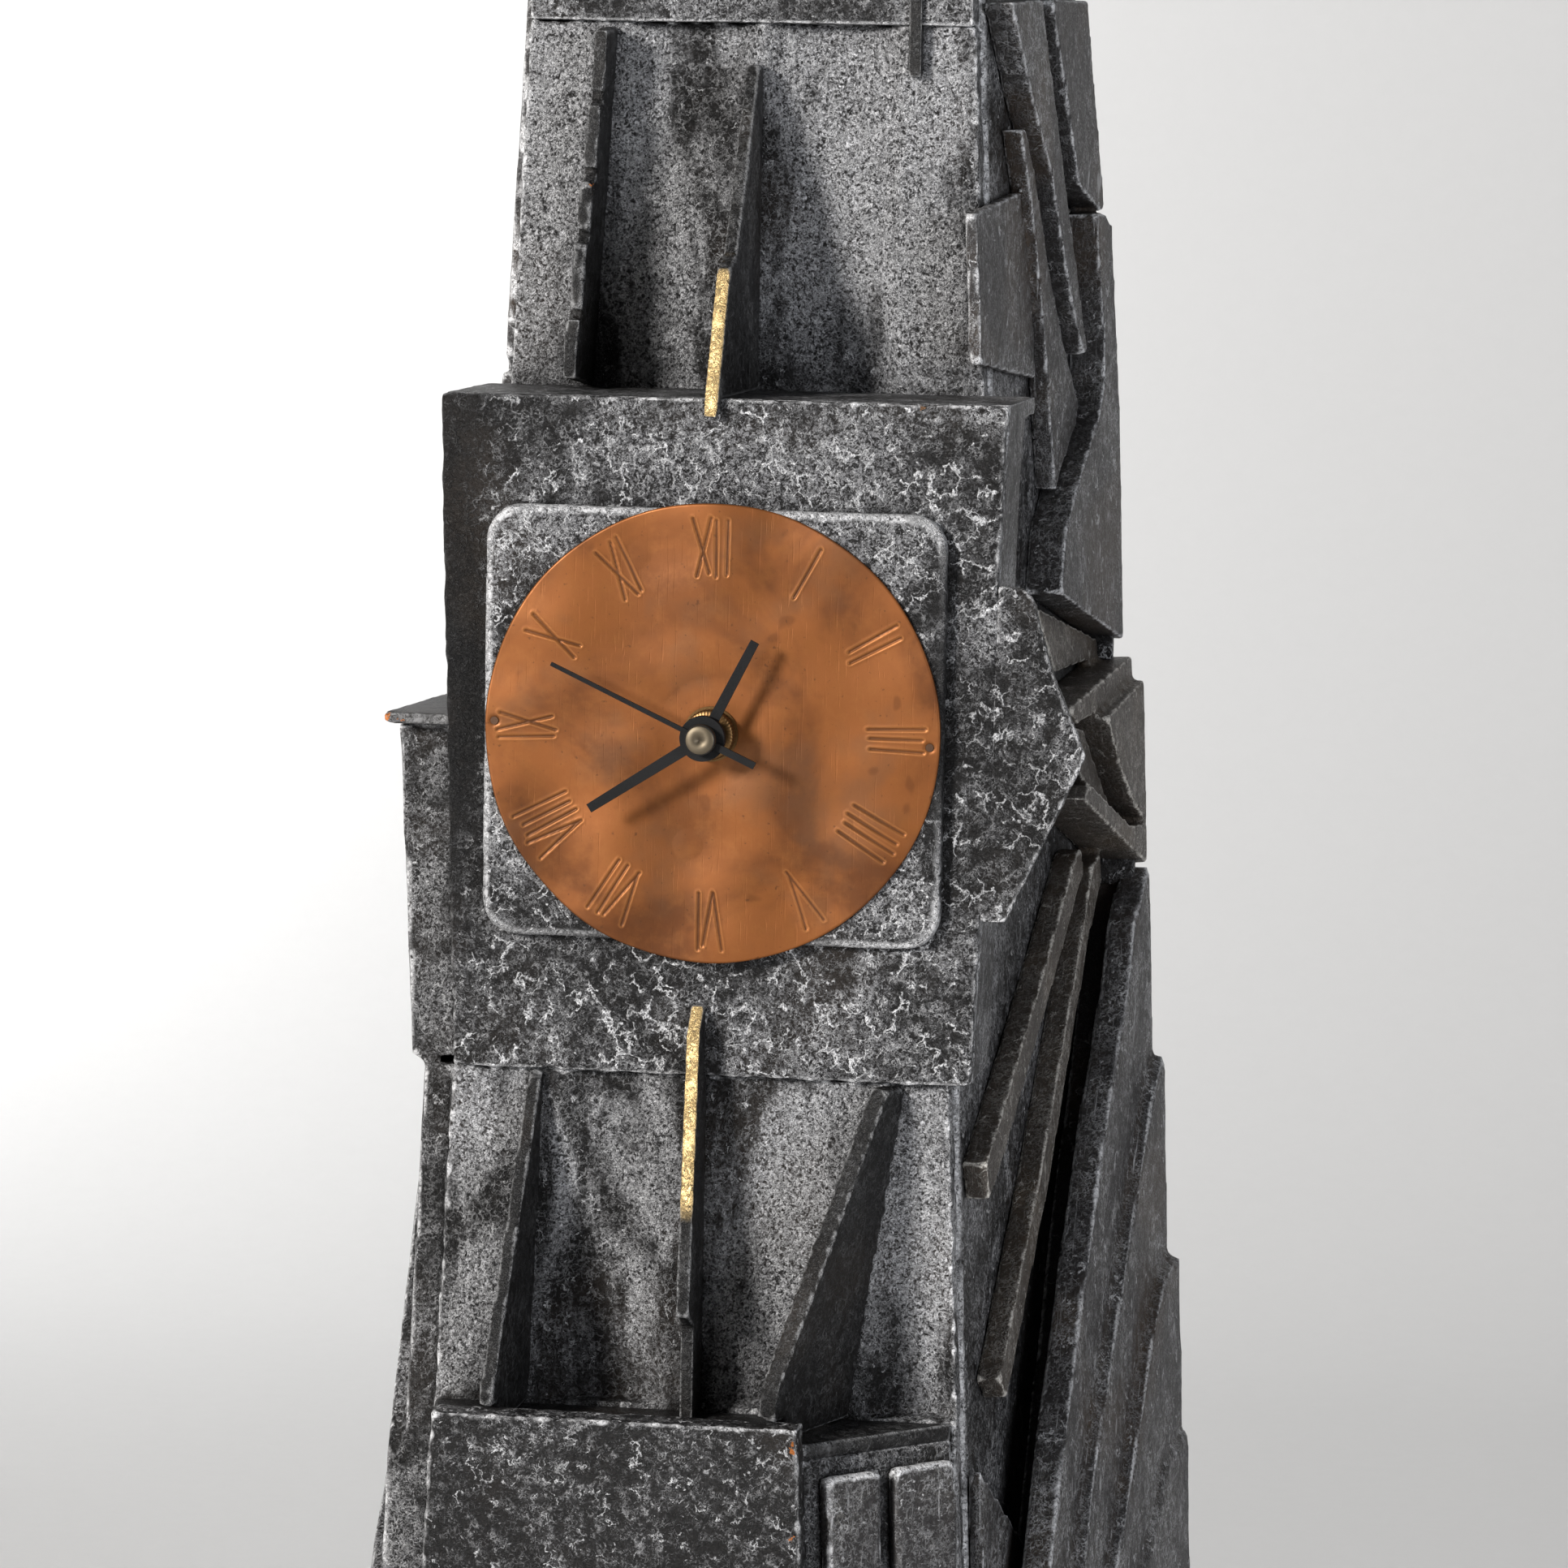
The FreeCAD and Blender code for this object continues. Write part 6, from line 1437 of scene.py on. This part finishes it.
@dataclass
class BackDoor:
    """Door in the back board with its hinges and turn button."""

    screw_offsets: tuple[float, float] = (-10, 10)
    hinge_heights: tuple[float, float] = (470, 570)
    leaf_centres: tuple[float, float] = (73.75, 56.75)
    screw_face: float = 111.9
    screw_radius: float = 2.4
    slot_width: float = 0.6
    button_centre: tuple[float, float] = (-66, 520)
    button_screw_face: float = 117.6
    button_screw_radius: float = 3.6
    dome: float = 0.45

    def screw(self, name: str, x: float, z: float, face: float, radius: float, body: str,
              turn: float) -> None:
        """Domed screw head with a slot.

        Args:
            name: Object's name.
            x: Centre's X in millimetres.
            z: Centre's Z in millimetres.
            face: Y of the head's seat in millimetres.
            radius: Head's radius in millimetres.
            body: CAD body that it rides on.
            turn: Slot's angle in degrees.
        """
        dome = self.dome
        profile = ((0.02, face), (radius * 0.96, face), (radius * 0.9, face + dome * 0.35),
                   (radius * 0.6, face + dome * 0.8), (0.02, face + dome))
        head = lathe(name, (x, z), profile, 40)
        bar = bpy.data.meshes.new(name + "_slot")
        place = Matrix.Translation(Vector((x, face + dome, z)) * MM)
        size = Matrix.Diagonal((radius * 2.4 * MM, dome * 1.2 * MM, self.slot_width * MM, 1))
        shape = place @ Matrix.Rotation(math.radians(turn), 4, "Y") @ size
        with edited(bar) as work:
            bmesh.ops.create_cube(work, size=1, matrix=shape)
        cutter = new_object(name + "_cutter", bar)
        carve = head.modifiers.new("Slot", "BOOLEAN")
        carve.object = cutter
        carve.operation = "DIFFERENCE"
        apply_modifiers(head)
        bpy.data.objects.remove(cutter)
        settle(head, body, HINGE_BRASS)

    def build(self) -> None:
        """Door board, hinge leaves, pins, screws and button."""
        SculptedBoard("rear_door", FIN_PAINT, Detail.PLAIN, lump=0.12, wave=0.15).build()
        BevelledNode("turn_button", FIN_PAINT, 1.0, 3).build()
        for node in ("hinge_leaves_fixed", "hinge_leaves_door"):
            BevelledNode(node, HINGE_BRASS, 0.12).build()
        finish_node("hinge_pins", BRASS)
        finish_node("turn_button_screw", BRASS)
        for i, height in enumerate(self.hinge_heights):
            for k, offset in enumerate(self.screw_offsets):
                for body, x in zip(("carcase", "door"), self.leaf_centres):
                    self.screw(f"hinge_screw_{body}_{i}_{k}", x, height + offset, self.screw_face,
                               self.screw_radius, body, 25 + 40 * i + 65 * k)
        self.screw("button_screw_dome", *self.button_centre, self.button_screw_face,
                   self.button_screw_radius, "carcase", 30)


@dataclass
class Studio:
    """Paper sweep, soft lights and the camera that took the photograph."""

    eye: Point = (323.7, -1943.9, 708.9)
    yaw: float = 9.210
    pitch: float = 6.254
    roll: float = 1.05
    focal_pixels: float = 7600
    image_pixels: float = 1932
    sensor: float = 36
    sweep_front: float = -4.0
    sweep_back: float = 2.6
    sweep_radius: float = 1.2
    sweep_half: float = 5
    sweep_top: float = 4.5
    dim: float = 0.14
    pale: float = 0.78

    def camera(self) -> None:
        """Camera from its place, aim and roll."""
        yaw, pitch, roll = (math.radians(a) for a in (self.yaw, self.pitch, self.roll))
        level = math.cos(pitch)
        behind = Vector((math.sin(yaw) * level, -math.cos(yaw) * level, math.sin(pitch)))
        right = Vector((0, 0, 1)).cross(behind).normalized()
        up = behind.cross(right)
        right, up = (right * math.cos(roll) + up * math.sin(roll),
                     up * math.cos(roll) - right * math.sin(roll))
        data = bpy.data.cameras.new("photo_camera")
        data.sensor_width = self.sensor
        data.lens = self.sensor * self.focal_pixels / self.image_pixels
        data.clip_end = 50
        item = new_object("photo_camera", data)
        item.matrix_world = Matrix.Translation(Vector(self.eye) * MM) @ Matrix(
            (right, up, behind)).transposed().to_4x4()
        bpy.context.scene.camera = item

    def sweep(self) -> None:
        """Floor that curves up into a background."""
        radius, steps = self.sweep_radius, 24
        line = [(self.sweep_front, 0.0), (self.sweep_back - radius, 0.0)]
        for i in range(1, steps + 1):
            turn = math.pi / 2 * i / steps
            line.append((self.sweep_back - radius + radius * math.sin(turn),
                         radius - radius * math.cos(turn)))
        line.append((self.sweep_back, self.sweep_top))
        points = [(x, y, z) for y, z in line for x in (-self.sweep_half, self.sweep_half)]
        floor = mesh_from("paper_sweep", points, quads(len(line), 2, ring=False, closed=False))
        dress(floor, FLOOR_PAPER)

    def light(self, name: str, at: Point, to: Point, size: float, power: float,
              colour: str = "#FFFFFF") -> None:
        """Soft square light that points at a place.

        Args:
            name: Object's name.
            at: Position in metres.
            to: Point that it lights, in metres.
            size: Side in metres.
            power: Watts.
            colour: Its sRGB colour.
        """
        data = bpy.data.lights.new(name, "AREA")
        data.size = size
        data.energy = power
        data.color = linear(colour)[:3]
        item = new_object(name, data)
        item.location = at
        item.visible_camera = False
        item.rotation_euler = (Vector(to) - Vector(at)).to_track_quat("-Z", "Y").to_euler()

    def build(self) -> None:
        """World, lights, sweep and camera."""
        scene = bpy.context.scene
        scene.view_settings.view_transform = "Standard"
        world = bpy.data.worlds.new("soft_studio")
        world.use_nodes = True
        tree = world.node_tree
        seen = add_node(tree, "LightPath", out="Is Camera Ray")
        strength = add_node(tree, "MapRange", (seen, 0, 1, self.dim, self.pale), **STEP)
        feed(tree, tree.nodes["Background"], {"Color": linear("#FFFFFF"), "Strength": strength})
        scene.world = world
        self.light("key_softbox", (-1.46, -2.45, 1.4), (0, 0, 0.5), 0.5, 140, "#FFFCF8")
        self.light("fill_card", (1.9, -1.7, 0.8), (0, 0, 0.5), 1.0, 30, "#F4F8FF")
        self.light("front_card", (-0.9, -2.1, 0.3), (0, 0, 0.5), 0.5, 4)
        self.light("sweep_light", (-1.6, 2.1, 1.0), (-1.0, 2.6, 0.5), 0.6, 22)
        self.sweep()
        self.camera()


def main() -> None:
    """Build every sub-assembly in order."""
    logging.basicConfig(level=logging.INFO, format="%(message)s")
    for part in (Carcase(), DialBlock(), Fins(), FlankCladding(), Steeple(), CopperDial(),
                 HandsAndNut(), Movement(), WheelTrain(), BackDoor(), Studio()):
        LOG.info("building %s", type(part).__name__)
        part.build()


if __name__ == "__main__":
    main()
